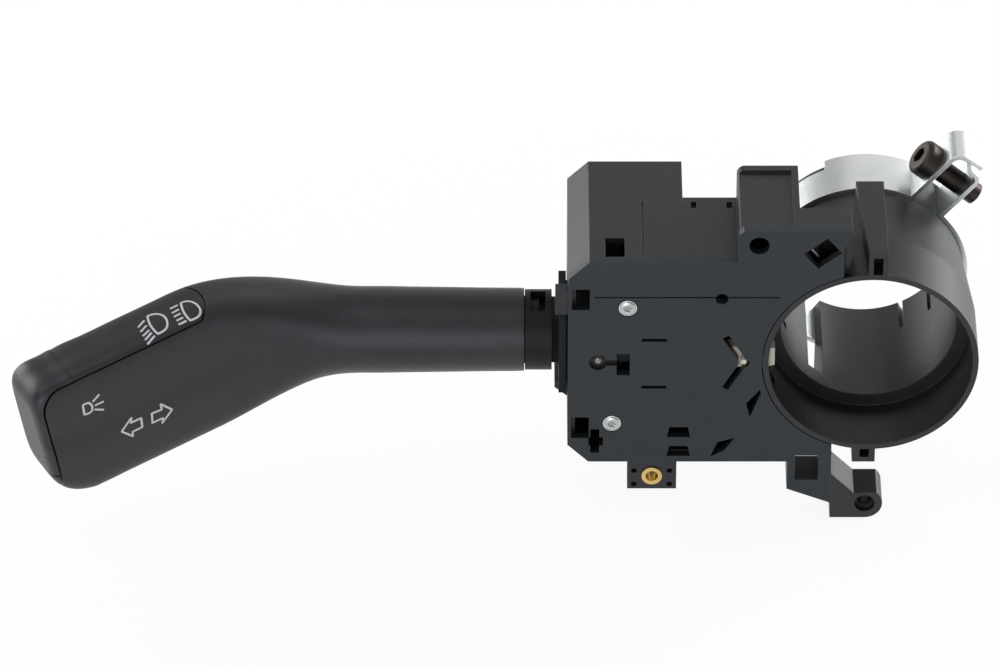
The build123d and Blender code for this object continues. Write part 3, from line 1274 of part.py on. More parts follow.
# Stiff bar inside the stalk: it carries the shells, tips on the pin and ends in the plunger's bore
CORE_STATIONS = (
    CORE_FIRST,
    STRAIGHT,
    STRAIGHT + BEND_LENGTH,
    STALK_LENGTH - CORE_BEFORE_TIP,
    STALK_LENGTH - CORE_LAST_BEFORE_TIP,
)
bar_end = PIVOT_X - SHELL_START
tail_end = PIVOT_X + TAIL_LENGTH
with BuildPart() as lever_core:
    block(
        (bar_end, PIVOT_X + BAR_REACH),
        (PIVOT_DEPTH - BAR_HALF_DEPTH, PIVOT_DEPTH + BAR_HALF_DEPTH),
        (-BAR_HALF_HEIGHT, BAR_HALF_HEIGHT),
    )
    block(
        (PIVOT_X, tail_end),
        (PIVOT_DEPTH - TAIL_HALF, PIVOT_DEPTH + TAIL_HALF),
        (TAIL_FLAT - TAIL_HALF, TAIL_HALF - TAIL_FLAT),
    )
    upright(PIVOT_X, PIVOT_Y, RUNNING_R, (-BAR_HALF_HEIGHT, BAR_HALF_HEIGHT), Mode.SUBTRACT)
    lying(PIVOT_Y, 0, PLUNGER_R + RUNNING_FIT, (PIVOT_X + BORE_START, tail_end), Mode.SUBTRACT)
    upright(PIVOT_X + BEAM_ARM, PIVOT_Y, BEAM_PIN_R, (TAIL_HALF - BEAM_PIN_SINK, BEAM_PIN_TOP))
    lying(PIVOT_Y, 0, NECK_R - SHELL_WALL, (bar_end - 2, bar_end + 4))
    with BuildLine() as centre_line:
        Line(stalk_start, bend_start)
        bend_over, _ = stalk_point(STRAIGHT + BEND_LENGTH)
        TangentArc(bend_start, bend_over, tangent=straight_dir)
        core_end, _ = stalk_point(STALK_LENGTH - CORE_END)
        Line(bend_over, core_end)
    with BuildSketch(stalk_plane(0)) as core_section:
        Rectangle(CORE_THICKNESS, CORE_HEIGHT)
    sweep(path=centre_line.line)
    for distance in CORE_STATIONS:
        extrude(stalk_section(distance, SHELL_WALL + CORE_GAP), amount=FLANGE_THICKNESS / 2, both=True)
lever_core.part.label = "lever_core"
export_step(lever_core.part, "parts/lever_core.step")

with BuildPart() as neck_sleeve:
    neck_span = (PIVOT_X - NECK_START - NECK_LENGTH, PIVOT_X - NECK_START)
    lying(PIVOT_Y, 0, NECK_R - NECK_STEP, neck_span)
    lying(PIVOT_Y, 0, NECK_R - SHELL_WALL, neck_span, Mode.SUBTRACT)
    block(
        (neck_span[0] + NECK_WINDOW[0], neck_span[0] + NECK_WINDOW[1]),
        (PIVOT_DEPTH - NECK_WINDOW_DEPTH[0], PIVOT_DEPTH + NECK_WINDOW_DEPTH[1]),
        (NECK_WINDOW_LOW, NECK_R + PAST),
        Mode.SUBTRACT,
    )
neck_sleeve.part.label = "neck_sleeve"
export_step(neck_sleeve.part, "parts/neck_sleeve.step")

# Detent: sprung nose in the bar's tail, and the hollow track it runs on
nose_x = PIVOT_X + NOSE_REACH
with BuildPart() as detent_plunger:
    lying(PIVOT_Y, 0, PLUNGER_R, (nose_x - PLUNGER_LENGTH, nose_x - NOSE_R))
    with Locations((nose_x - NOSE_R, PIVOT_Y, 0)):
        Sphere(NOSE_R)
detent_plunger.part.label = "detent_plunger"
export_step(detent_plunger.part, "parts/detent_plunger.step")


def coil(start, length, radius):
    """Return a helical spring along X."""
    with BuildPart() as spring:
        with BuildLine() as helix:
            Helix(length / SPRING_TURNS, length, radius, center=start, direction=(1, 0, 0))
        with BuildSketch(helix.line ^ 0):
            Circle(SPRING_WIRE)
        sweep(path=helix.line, is_frenet=True)
    return spring.part


bore_end = PIVOT_X + BORE_START
spring_span = (bore_end + SPRING_WIRE, nose_x - PLUNGER_LENGTH - SPRING_WIRE)
spring_length = spring_span[1] - spring_span[0]
detent_spring = coil((spring_span[0], PIVOT_Y, 0), spring_length, DETENT_SPRING_R)
detent_spring.label = "detent_spring"
export_step(detent_spring, "parts/detent_spring.step")

with BuildPart() as detent_cam:
    cam_across = (nose_x - CAM_HORN, nose_x + CAM_GAP + CAM_BACK)
    block(cam_across, (CAM_FRONT, FLOOR_FRONT), (-CAM_HALF_HEIGHT, CAM_HALF_HEIGHT))
    with Locations((PIVOT_X, PIVOT_Y, 0)):
        Sphere(NOSE_REACH + CAM_GAP, rotation=(0, 0, 180), mode=Mode.SUBTRACT)
    for turn in (-DETENT_TURN, 0, DETENT_TURN):
        reach = NOSE_REACH + CAM_GAP - NOSE_R + DIMPLE
        dimple_x = PIVOT_X + reach * math.cos(math.radians(turn))
        dimple_z = reach * math.sin(math.radians(turn))
        with Locations((dimple_x, PIVOT_Y, dimple_z)):
            Sphere(NOSE_R, rotation=(0, 0, 180), mode=Mode.SUBTRACT)
detent_cam.part.label = "detent_cam"
export_step(detent_cam.part, "parts/detent_cam.step")

# Turn signal slider and its bridge, behind the floor
with BuildPart() as turn_slider:
    block((SLIDER_LEFT, SLIDER_RIGHT), (SLIDER_FRONT, SLIDER_BACK), (-SLIDER_HEIGHT / 2, SLIDER_HEIGHT / 2))
    arc_drop = ARM_REACH * (1 - math.cos(math.radians(TURN_RANGE)))
    drive_fit = DRIVE_PIN_R + RUNNING_FIT
    block(
        (DRIVE_X - drive_fit - arc_drop, DRIVE_X + drive_fit),
        (SLIDER_FRONT, SLIDER_BACK),
        (-drive_fit, drive_fit),
        Mode.SUBTRACT,
    )
turn_slider.part.label = "turn_slider"
export_step(turn_slider.part, "parts/turn_slider.step")

with BuildPart() as turn_bridge:
    bridge_tip = BOARD_DEPTH - TRACK - BRIDGE_LIFT
    block(
        (TRACKS_X[0] - BRIDGE_EDGE, TRACKS_X[-1] + BRIDGE_EDGE),
        (SLIDER_BACK, SLIDER_BACK + BRIDGE),
        (BRIDGE_LOW, BRIDGE_LOW + BRIDGE_HEIGHT),
    )
    for track_x in TRACKS_X:
        finger_across = (track_x - FINGER_HALF, track_x + FINGER_HALF)
        block(finger_across, (SLIDER_BACK, bridge_tip), (BRIDGE_LOW, BRIDGE_LOW + BRIDGE))
turn_bridge.part.label = "turn_bridge"
export_step(turn_bridge.part, "parts/turn_bridge.step")

# Beam slider, its bridge, guide and contact strips, above the detent
beam_front = PIVOT_DEPTH - BEAM_SLIDER_LENGTH / 2
beam_back = PIVOT_DEPTH + BEAM_SLIDER_LENGTH / 2
beam_top = BEAM_SLIDER_Z + BEAM_SLIDER_THICKNESS
with BuildPart() as beam_slider:
    block((BEAM_SLIDER_LEFT, BEAM_SLIDER_RIGHT), (beam_front, beam_back), (BEAM_SLIDER_Z, beam_top))
    beam_fit = BEAM_PIN_R + RUNNING_FIT
    block(
        (BEAM_SLOT_LEFT, BEAM_SLOT_RIGHT),
        (PIVOT_DEPTH - beam_fit, PIVOT_DEPTH + beam_fit),
        (BEAM_SLIDER_Z, beam_top),
        Mode.SUBTRACT,
    )
beam_slider.part.label = "beam_slider"
export_step(beam_slider.part, "parts/beam_slider.step")

with BuildPart() as beam_bridge:
    block(
        (BEAM_BRIDGE_LEFT, BEAM_BRIDGE_LEFT + BEAM_BRIDGE_WIDTH),
        (PIVOT_DEPTH - BEAM_BRIDGE_HALF, PIVOT_DEPTH + BEAM_BRIDGE_HALF),
        (beam_top, beam_top + BRIDGE),
    )
beam_bridge.part.label = "beam_bridge"
export_step(beam_bridge.part, "parts/beam_bridge.step")

guide_depth = (beam_front - BEAM_TRAVEL_ROOM, FLOOR_FRONT)
with BuildPart() as beam_guide:
    guide_left = BEAM_SLIDER_RIGHT + SEAM
    guide_top = beam_top + GUIDE_WALL
    guide_low = BEAM_SLIDER_Z - GUIDE_WALL
    lip_across = (BEAM_SLIDER_RIGHT - GUIDE_LAP, guide_left)
    block((guide_left, guide_left + GUIDE_WALL), guide_depth, (guide_low, guide_top))
    block(lip_across, guide_depth, (beam_top + SEAM, guide_top))
    block(lip_across, guide_depth, (guide_low, BEAM_SLIDER_Z - SEAM))
beam_guide.part.label = "beam_guide"
export_step(beam_guide.part, "parts/beam_guide.step")

board_low = beam_top + BRIDGE + BRIDGE_LIFT + TRACK
board_across = (
    BEAM_BRIDGE_LEFT - BEAM_BOARD_EDGES[0],
    BEAM_BRIDGE_LEFT + BEAM_BRIDGE_WIDTH + BEAM_BOARD_EDGES[1],
)
with BuildPart() as beam_board:
    block(board_across, guide_depth, (board_low, board_low + BEAM_BOARD_THICKNESS))
beam_board.part.label = "beam_board"
export_step(beam_board.part, "parts/beam_board.step")

with BuildPart() as beam_strips:
    strip_depth = (guide_depth[0] + TRACK_HALF, FLOOR_FRONT - TRACK_HALF)
    for place in BEAM_STRIPS:
        strip_x = BEAM_BRIDGE_LEFT + place
        block((strip_x - FINGER_HALF, strip_x + FINGER_HALF), strip_depth, (board_low - TRACK, board_low))
beam_strips.part.label = "beam_strips"
export_step(beam_strips.part, "parts/beam_strips.step")

# Cancel pawl behind the cover: finger into the ring, pin in the V slot, ear for its spring
pawl_front = PLATE + PAWL_GAP
pawl_back = pawl_front + PAWL_THICKNESS
ear_bottom = PAWL_SPRING_Z - PAWL_EAR_DROP
ear_right = PAWL_EAR_X + PAWL_EAR_WIDTH
with BuildPart() as cancel_pawl:
    polygon_prism(
        [
            (-PAWL_FINGER_END, PAWL_FINGER_HALF - PAWL_FINGER_TIP),
            (-PAWL_FINGER_END - PAWL_FINGER_TAPER, PAWL_FINGER_HALF),
            (PAWL_X - PAWL_SHOULDER, PAWL_FINGER_HALF),
            (PAWL_TAIL, PAWL_TAIL_HALF),
            (PAWL_TAIL, -PAWL_TAIL_HALF),
            (PAWL_EAR_X, PAWL_EAR_TOP),
            (PAWL_EAR_X, ear_bottom),
            (ear_right, ear_bottom),
            (ear_right + PAWL_EAR_SLOPE, -PAWL_FINGER_HALF),
            (-PAWL_FINGER_END - PAWL_FINGER_TAPER, -PAWL_FINGER_HALF),
            (-PAWL_FINGER_END, PAWL_FINGER_TIP - PAWL_FINGER_HALF),
        ],
        (pawl_front, pawl_back),
    )
    rod(PAWL_X, 0, PAWL_PIN_R, (PAWL_PIN_FRONT, pawl_front))
cancel_pawl.part.label = "cancel_pawl"
export_step(cancel_pawl.part, "parts/cancel_pawl.step")

seat_gap = SPRING_WIRE + RUNNING_FIT
pawl_spring_start = SPRING_SEAT_X + seat_gap
pawl_spring_length = PAWL_EAR_X - seat_gap - pawl_spring_start
pawl_middle = FRONT_Y + middle((pawl_front, pawl_back))
pawl_spring = coil((pawl_spring_start, pawl_middle, PAWL_SPRING_Z), pawl_spring_length, PAWL_SPRING_R)
pawl_spring.label = "pawl_spring"
export_step(pawl_spring, "parts/pawl_spring.step")
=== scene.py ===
"""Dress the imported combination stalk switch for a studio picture."""
import json
import math

import bpy
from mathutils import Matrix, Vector
from mathutils.bvhtree import BVHTree


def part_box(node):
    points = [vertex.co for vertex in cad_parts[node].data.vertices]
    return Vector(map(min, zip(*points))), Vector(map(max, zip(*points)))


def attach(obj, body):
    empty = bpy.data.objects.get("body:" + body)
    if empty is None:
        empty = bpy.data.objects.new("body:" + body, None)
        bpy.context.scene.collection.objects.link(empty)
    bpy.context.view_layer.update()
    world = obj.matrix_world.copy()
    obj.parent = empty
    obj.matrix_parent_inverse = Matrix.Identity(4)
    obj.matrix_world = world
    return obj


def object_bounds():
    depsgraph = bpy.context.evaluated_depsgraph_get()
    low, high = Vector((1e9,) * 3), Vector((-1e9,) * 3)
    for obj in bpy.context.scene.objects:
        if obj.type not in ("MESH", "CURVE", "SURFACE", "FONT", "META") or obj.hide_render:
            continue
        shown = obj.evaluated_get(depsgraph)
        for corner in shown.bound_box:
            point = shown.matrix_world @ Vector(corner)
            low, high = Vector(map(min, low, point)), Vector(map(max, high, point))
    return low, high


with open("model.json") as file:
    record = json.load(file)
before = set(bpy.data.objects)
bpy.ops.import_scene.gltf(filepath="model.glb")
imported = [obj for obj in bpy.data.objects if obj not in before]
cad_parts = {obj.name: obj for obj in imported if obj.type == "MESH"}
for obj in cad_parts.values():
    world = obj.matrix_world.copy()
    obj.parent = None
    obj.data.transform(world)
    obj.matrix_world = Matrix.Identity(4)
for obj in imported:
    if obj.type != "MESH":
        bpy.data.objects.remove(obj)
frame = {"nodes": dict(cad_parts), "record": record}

cad_box = [list(corner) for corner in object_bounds()]
MM = 0.001
WHITE = (1, 1, 1, 1)
scene = bpy.context.scene

# Places that the frame gives
FRONT_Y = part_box("front_cover")[0][1]
LOW_Z = cad_box[0][2]

# The picture: its width and middle in steps, and its width in metres on the object
PICTURE_WIDTH = 1000
MIDDLE_ACROSS = 500
MIDDLE_DOWN = 333
VIEW_WIDTH = 0.264
STEP = VIEW_WIDTH / PICTURE_WIDTH

# The camera: the sine and cosine of its angle above the horizon, and lengths in metres
CAMERA_RISE = 0.592
CAMERA_BACK = 0.806
CAMERA_DISTANCE = 2.1
CAMERA_REACH = 20
SENSOR = 36.0
AIM_LEFT = 0.0979
AIM_UP = 0.0079
TO_CAMERA = Vector((0, -CAMERA_BACK, CAMERA_RISE))
VIEW_RIGHT = Vector((1, 0, 0))
VIEW_UP = Vector((0, CAMERA_RISE, CAMERA_BACK))
AIM = Vector((-AIM_LEFT, FRONT_Y + AIM_UP * CAMERA_RISE, AIM_UP * CAMERA_BACK))
CAMERA_PLACE = AIM + TO_CAMERA * CAMERA_DISTANCE

# Each lamp's name, place, size in metres and power in watts, and what all of them point at
LAMPS = (
    ("key_light", (-0.5, -0.2, 0.9), 0.8, 2.5),
    ("back_light", (0.2, 0.9, 0.5), 0.9, 1.0),
    ("right_light", (0.9, 0.5, 0.25), 0.7, 14.0),
    ("left_light", (-0.9, 0.5, 0.2), 0.7, 6.5),
    ("front_light", (-0.1, -1.2, 0.35), 1.0, 2.5),
    ("low_light", (-0.3, -0.6, 0.02), 0.5, 1.2),
)
LIGHT_AIM = (-0.09, 0, 0)
WORLD_STRENGTH = 0.43

# The floor: half its side and its gap under the object in metres, and its colour
FLOOR_REACH = 30.0
FLOOR_GAP = 0.0005
FLOOR_PAPER = (0.9, 0.9, 0.9, 1)
FLOOR_GLOW = 0.9


def link_object(name, data):
    """Put an object with this data in the scene."""
    item = bpy.data.objects.new(name, data)
    scene.collection.objects.link(item)
    return item


def make_mesh(name, corners, faces, material):
    """Put a mesh of one material in the scene."""
    mesh = bpy.data.meshes.new(name)
    mesh.from_pydata(corners, [], faces)
    mesh.materials.append(material)
    return link_object(name, mesh)


def look_along(item, place, direction):
    """Place a camera or lamp and turn it to look along a direction."""
    item.location = place
    item.rotation_euler = direction.to_track_quat("-Z", "Y").to_euler()


# Camera, light and floor


def make_camera():
    """Look from in front and above, as the photograph does."""
    data = bpy.data.cameras.new("camera")
    data.sensor_width = SENSOR
    data.lens = SENSOR * CAMERA_DISTANCE / VIEW_WIDTH
    data.clip_end = CAMERA_REACH
    camera = link_object("camera", data)
    look_along(camera, CAMERA_PLACE, -TO_CAMERA)
    scene.camera = camera


def make_light():
    """Light the object from all round with square soft lamps and an even white sky."""
    for name, place, size, power in LAMPS:
        data = bpy.data.lights.new(name, "AREA")
        data.size = size
        data.energy = power
        look_along(link_object(name, data), place, Vector(LIGHT_AIM) - Vector(place))
    world = bpy.data.worlds.new("studio")
    scene.world = world
    world.use_nodes = True
    background = world.node_tree.nodes["Background"]
    background.inputs["Color"].default_value = WHITE
    background.inputs["Strength"].default_value = WORLD_STRENGTH


def make_paper():
    """Return the floor's white, which glows only where the camera or a glossy surface sees it."""
    material = bpy.data.materials.new("floor_white")
    material.use_nodes = True
    tree = material.node_tree
    tree.nodes.clear()
    out = tree.nodes.new("ShaderNodeOutputMaterial")
    paper = tree.nodes.new("ShaderNodeBsdfDiffuse")
    paper.inputs["Color"].default_value = FLOOR_PAPER
    glow = tree.nodes.new("ShaderNodeEmission")
    glow.inputs["Color"].default_value = WHITE
    mix = tree.nodes.new("ShaderNodeMixShader")
    path = tree.nodes.new("ShaderNodeLightPath")
    seen = tree.nodes.new("ShaderNodeMath")
    seen.operation = "MAXIMUM"
    share = tree.nodes.new("ShaderNodeMath")
    share.operation = "MULTIPLY"
    share.inputs[1].default_value = FLOOR_GLOW
    tree.links.new(path.outputs["Is Camera Ray"], seen.inputs[0])
    tree.links.new(path.outputs["Is Glossy Ray"], seen.inputs[1])
    tree.links.new(seen.outputs[0], share.inputs[0])
    tree.links.new(share.outputs[0], mix.inputs["Fac"])
    tree.links.new(paper.outputs[0], mix.inputs[1])
    tree.links.new(glow.outputs[0], mix.inputs[2])
    tree.links.new(mix.outputs[0], out.inputs["Surface"])
    return material


def make_floor():
    """Lay a wide white floor just under the lowest point."""
    reach = FLOOR_REACH
    level = LOW_Z - FLOOR_GAP
    corners = [(-reach, -reach, level), (reach, -reach, level), (reach, reach, level), (-reach, reach, level)]
    floor = make_mesh("floor", corners, [(0, 1, 2, 3)], make_paper())


# Materials

# Most values of a noise pattern lie between these two
NOISE_LOW = 0.3
NOISE_HIGH = 0.7

# How like the true normal the rounded one is, on a flat and at a sharp edge
FLAT_LIKENESS = 1.0
EDGE_LIKENESS = 0.8
BEVEL_SAMPLES = 6

# Mouldings: the mottle's scale in waves per metre, the roughness pattern's scale as a share of the grain's,
# how far the roughness swings, and the tint of the gloss
MOTTLE_SCALE = 180
ROUGHNESS_SCALE_SHARE = 0.35
ROUGHNESS_SWING = 0.06
GLOSS_TINT = (0.9, 0.95, 1.0)

# Metals: scales in waves per metre, heights and lengths in metres
PLATE_MOTTLE_SCALE = 60
PLATE_ROUGHNESS_SCALE = 900
PLATE_GRAIN_SCALE = 1800
PLATE_GRAIN_HEIGHT = 0.000004
PLATE_EDGE_RADIUS = 0.0003
PLATE_SMOOTHER = 0.04
PLATE_ROUGHER = 0.06

# Plastics: the mottle's two colours and the lighter colour painted along sharp edges as a highlight, the
# roughness, the grain in waves per metre, and the grain's height and the edges' radius in metres
MOULDED = {
    "black_moulding": {
        "dark": (0.0085, 0.0075, 0.009), "light": (0.012, 0.0108, 0.0125), "edge_highlight": (0.04, 0.038, 0.042),
        "roughness": 0.42, "grain": 5200, "grain_height": 0.00001, "edge_radius": 0.00025,
    },
    "black_cover": {
        "dark": (0.0075, 0.0105, 0.0125), "light": (0.0105, 0.0138, 0.016), "edge_highlight": (0.035, 0.04, 0.044),
        "roughness": 0.5, "grain": 6000, "grain_height": 0.000009, "edge_radius": 0.0002,
    },
    "soft_black": {
        "dark": (0.008, 0.0078, 0.0092), "light": (0.011, 0.0108, 0.0125), "edge_highlight": (0.02, 0.02, 0.022),
        "roughness": 0.42, "grain": 7000, "grain_height": 0.000009, "edge_radius": 0.0003,
    },
    # dark_inner: black plastic made far darker and less glossy than the other blacks, its own black plus
    # painted shade for the parts deep inside the collar
    "dark_inner": {
        "dark": (0.0012, 0.0016, 0.002), "light": (0.0022, 0.0028, 0.0034), "edge_highlight": (0.008, 0.009, 0.01),
        "roughness": 0.5, "grain": 5000, "grain_height": 0.000009, "edge_radius": 0.0002, "specular": 0.25,
    },
    "cream_acetal": {
        "dark": (0.56, 0.52, 0.43), "light": (0.62, 0.58, 0.49), "edge_highlight": (0.7, 0.66, 0.58),
        "roughness": 0.4, "grain": 4000, "grain_height": 0.000006, "edge_radius": 0.0003,
    },
    "amber_board": {
        "dark": (0.3, 0.18, 0.08), "light": (0.38, 0.24, 0.11), "edge_highlight": (0.45, 0.3, 0.15),
        "roughness": 0.55, "grain": 3000, "grain_height": 0.00001, "edge_radius": 0.0002,
    },
    "icon_print": {
        "dark": (0.46, 0.47, 0.485), "light": (0.5, 0.51, 0.525), "edge_highlight": (0.5, 0.51, 0.525),
        "roughness": 0.6, "grain": 9000, "grain_height": 0.000003, "edge_radius": 0.00005,
    },
}
PLATED = {
    "zinc_steel": {"dark": (0.68, 0.72, 0.72), "light": (0.8, 0.82, 0.8), "roughness": 0.32},
    "screw_zinc": {"dark": (0.34, 0.35, 0.36), "light": (0.62, 0.63, 0.62), "roughness": 0.22},
    "pin_steel": {"dark": (0.16, 0.17, 0.2), "light": (0.26, 0.27, 0.3), "roughness": 0.3},
    "plain_steel": {"dark": (0.42, 0.42, 0.44), "light": (0.58, 0.58, 0.6), "roughness": 0.3},
    "brass": {"dark": (0.6, 0.42, 0.14), "light": (0.74, 0.56, 0.24), "roughness": 0.3},
    "black_steel": {"dark": (0.045, 0.037, 0.034), "light": (0.075, 0.063, 0.058), "roughness": 0.42},
}

# Nodes that look other than the rest of their material slot; the neck sleeve takes the darker dark_inner
# finish, which paints the shade inside the collar
NODE_FINISHES = {"neck_sleeve": "dark_inner", "rotor_pins": "black_steel"}


class Shader:
    """A material under construction: its node tree, its surface shader and its coordinates."""

    def __init__(self, name, color, roughness, metallic=0.0, specular=0.5):
        self.material = bpy.data.materials.new(name)
        self.material.use_nodes = True
        self.tree = self.material.node_tree
        self.surface = self.tree.nodes["Principled BSDF"]
        self.fill(self.surface, {
            "Base Color": (*color, 1),
            "Roughness": roughness,
            "Metallic": metallic,
            "Specular IOR Level": specular,
        })
        self.place = self.add("ShaderNodeTexCoord").outputs["Object"]

    def fill(self, node, sockets):
        """Set the values of a node's named sockets."""
        for name, value in sockets.items():
            node.inputs[name].default_value = value

    def add(self, kind, sockets=None, **properties):
        """Add a node, with its named sockets and properties."""
        node = self.tree.nodes.new(kind)
        for name, value in properties.items():
            setattr(node, name, value)
        self.fill(node, sockets or {})
        return node

    def link(self, source, target):
        """Join an output to an input."""
        self.tree.links.new(source, target)

    def feed(self, socket, source):
        """Join an output to a socket of the surface."""
        self.link(source, self.surface.inputs[socket])

    def noise(self, scale, detail, roughness=0.5):
        """Return a noise pattern's value, with its scale in waves per metre."""
        node = self.add("ShaderNodeTexNoise", {"Scale": scale, "Detail": detail, "Roughness": roughness})
        self.link(self.place, node.inputs["Vector"])
        return node.outputs["Fac"]

    def spread(self, value, low, high):
        """Stretch a noise value onto a range."""
        node = self.add("ShaderNodeMapRange", {
            "From Min": NOISE_LOW,
            "From Max": NOISE_HIGH,
            "To Min": low,
            "To Max": high,
        })
        self.link(value, node.inputs["Value"])
        return node.outputs["Result"]

    def mottle(self, value, dark, light):
        """Return a colour between two by a noise value."""
        ramp = self.add("ShaderNodeValToRGB")
        first, last = ramp.color_ramp.elements
        first.color = (*dark, 1)
        last.color = (*light, 1)
        first.position = NOISE_LOW
        last.position = NOISE_HIGH
        self.link(value, ramp.inputs["Fac"])
        return ramp.outputs["Color"]

    def rounded(self, radius):
        """Return the normal with every sharp edge rounded to a radius."""
        bevel = self.add("ShaderNodeBevel", {"Radius": radius}, samples=BEVEL_SAMPLES)
        return bevel.outputs["Normal"]

    def edge(self, rounded):
        """Return how near a sharp edge a point lies, from the rounded normal."""
        geometry = self.add("ShaderNodeNewGeometry")
        likeness = self.add("ShaderNodeVectorMath", operation="DOT_PRODUCT")
        self.link(rounded, likeness.inputs[0])
        self.link(geometry.outputs["Normal"], likeness.inputs[1])
        turned = self.add("ShaderNodeMapRange", {"From Min": FLAT_LIKENESS, "From Max": EDGE_LIKENESS})
        self.link(likeness.outputs["Value"], turned.inputs["Value"])
        return turned.outputs["Result"]

    def paint_edge_highlight(self, edge, base, edge_highlight):
        """Return the colour with a lighter one along the sharp edges, a painted highlight."""
        mix = self.add("ShaderNodeMix", {"B": (*edge_highlight, 1)}, data_type="RGBA")
        self.link(edge, mix.inputs["Factor"])
        self.link(base, mix.inputs["A"])
        return mix.outputs["Result"]

    def bump(self, height, distance, normal):
        """Return a normal raised by a height pattern over a distance in metres."""
        node = self.add("ShaderNodeBump", {"Distance": distance, "Strength": 1.0})
        self.link(height, node.inputs["Height"])
        self.link(normal, node.inputs["Normal"])
        return node.outputs["Normal"]


def moulding(name, dark, light, edge_highlight, roughness, grain, grain_height, edge_radius, specular=0.5):
    """Make a moulded plastic with a fine grain, soft edges, a slight mottle and a painted highlight along its
    sharp edges.
    """
    shader = Shader(name, light, roughness, specular=specular)
    shader.fill(shader.surface, {"Specular Tint": (*GLOSS_TINT, 1)})
    base = shader.mottle(shader.noise(MOTTLE_SCALE, 3), dark, light)
    rounded = shader.rounded(edge_radius)
    patches = shader.noise(grain * ROUGHNESS_SCALE_SHARE, 3)
    # The sharp edges get a lighter colour: a painted highlight where the rounded edges catch the light
    shader.feed("Base Color", shader.paint_edge_highlight(shader.edge(rounded), base, edge_highlight))
    shader.feed("Roughness", shader.spread(patches, roughness - ROUGHNESS_SWING, roughness + ROUGHNESS_SWING))
    shader.feed("Normal", shader.bump(shader.noise(grain, 2), grain_height, rounded))
    return shader.material


def plated(name, dark, light, roughness):
    """Make a plated metal with a fine grain, soft edges and faint passivation colours."""
    shader = Shader(name, light, roughness, metallic=1.0)
    rounded = shader.rounded(PLATE_EDGE_RADIUS)
    patches = shader.noise(PLATE_ROUGHNESS_SCALE, 3)
    grain = shader.noise(PLATE_GRAIN_SCALE, 2)
    shader.feed("Base Color", shader.mottle(shader.noise(PLATE_MOTTLE_SCALE, 4, 0.6), dark, light))
    shader.feed("Roughness", shader.spread(patches, roughness - PLATE_SMOOTHER, roughness + PLATE_ROUGHER))
    shader.feed("Normal", shader.bump(grain, PLATE_GRAIN_HEIGHT, rounded))
    return shader.material


def make_materials():
    """Return the finishes by name."""
    plastics = {name: moulding(name, **values) for name, values in MOULDED.items()}
    metals = {name: plated(name, **values) for name, values in PLATED.items()}
    return plastics | metals


def dress_nodes(finishes):
    """Give every CAD node the finish of its material slot, or its own."""
    for entry in frame["record"]["subparts"]:
        node = entry["node"]
        finish = finishes[NODE_FINISHES.get(node, entry["material_slot"])]
        for slot in frame["nodes"][node].material_slots:
            slot.link = "OBJECT"
            slot.material = finish


# Printed symbols on the paddle

# A line's width, its height over the shell and its depth under it
PRINT_WIDTH = 0.58 * MM
PRINT_RISE = 0.05 * MM
PRINT_SINK = 0.1 * MM

# How far apart the places along a line are, in steps of the view
PRINT_STEP = 0.8
LINE_CORNERS = 4

# How far the two headlamp symbols are moved to clear the cap's seam, across and down the view
LOW_SHIFT = (-0.5, -2.0)
HIGH_SHIFT = (-5.0, 0.6)
NO_SHIFT = (0, 0)

# Outlines and bars, in steps across and down the view
BARS_LOW = (
    ((144.8, 322.5), (138.7, 329.4)),
    ((147.1, 327.5), (141.0, 334.0)),
    ((149.8, 332.1), (143.3, 338.2)),
    ((152.1, 334.7), (145.6, 342.0)),
    ((155.2, 337.8), (147.9, 346.2)),
)
BARS_HIGH = (
    ((182.7, 304.5), (175.0, 308.3)),
    ((183.9, 308.7), (177.0, 312.6)),
    ((185.4, 312.9), (178.9, 316.4)),
    ((188.1, 316.8), (181.6, 320.2)),
    ((191.5, 320.2), (183.5, 324.0)),
)
LENS_LOW = (
    (147.9, 318.3), (152.0, 316.6), (156.7, 316.0), (160.5, 316.5), (163.6, 317.6), (166.0, 319.8),
    (167.4, 322.5), (167.9, 325.2), (167.8, 327.9), (166.8, 330.4), (164.7, 332.5), (161.8, 334.3),
    (158.2, 335.9), (155.4, 333.2), (152.9, 330.2), (150.8, 327.2), (149.4, 324.0), (148.4, 321.0),
)
LENS_HIGH = (
    (185.8, 302.2), (189.6, 301.0), (193.4, 300.7), (197.3, 301.4), (201.1, 303.4), (203.7, 306.2),
    (205.3, 309.1), (205.3, 312.3), (204.5, 314.5), (202.6, 316.4), (201.1, 317.5), (198.2, 318.8),
    (195.3, 319.8), (192.6, 317.2), (190.0, 313.7), (188.2, 310.4), (186.9, 307.2), (186.2, 304.6),
)
ARROW_LEFT = (
    (121.6, 431.5), (131.4, 417.4), (130.7, 422.8), (141.1, 418.0), (142.3, 427.0), (132.5, 431.7),
    (133.0, 436.2),
)
ARROW_RIGHT = (
    (172.1, 409.4), (160.4, 404.0), (161.8, 409.4), (151.8, 413.4), (152.4, 422.8), (163.1, 417.9),
    (162.2, 423.2),
)
SIDE_LAMP = (
    (82.8, 404.9), (85.6, 403.6), (88.6, 402.7), (91.2, 404.4), (92.4, 407.2), (92.2, 410.2), (90.2, 412.6),
    (87.4, 413.8), (84.4, 414.6), (83.5, 409.6),
)
SIDE_RAYS = (
    ((92.6, 401.8), (99.3, 394.2)),
    ((94.8, 405.4), (103.8, 401.3)),
    ((94.4, 409.4), (103.8, 409.6)),
)

# Each symbol's name, outline, bars and shift
SYMBOLS = (
    ("headlamp_symbol_low", LENS_LOW, BARS_LOW, LOW_SHIFT),
    ("headlamp_symbol_high", LENS_HIGH, BARS_HIGH, HIGH_SHIFT),
    ("turn_symbol_left", ARROW_LEFT, (), NO_SHIFT),
    ("turn_symbol_right", ARROW_RIGHT, (), NO_SHIFT),
    ("side_lamp_symbol", SIDE_LAMP, SIDE_RAYS, NO_SHIFT),
)


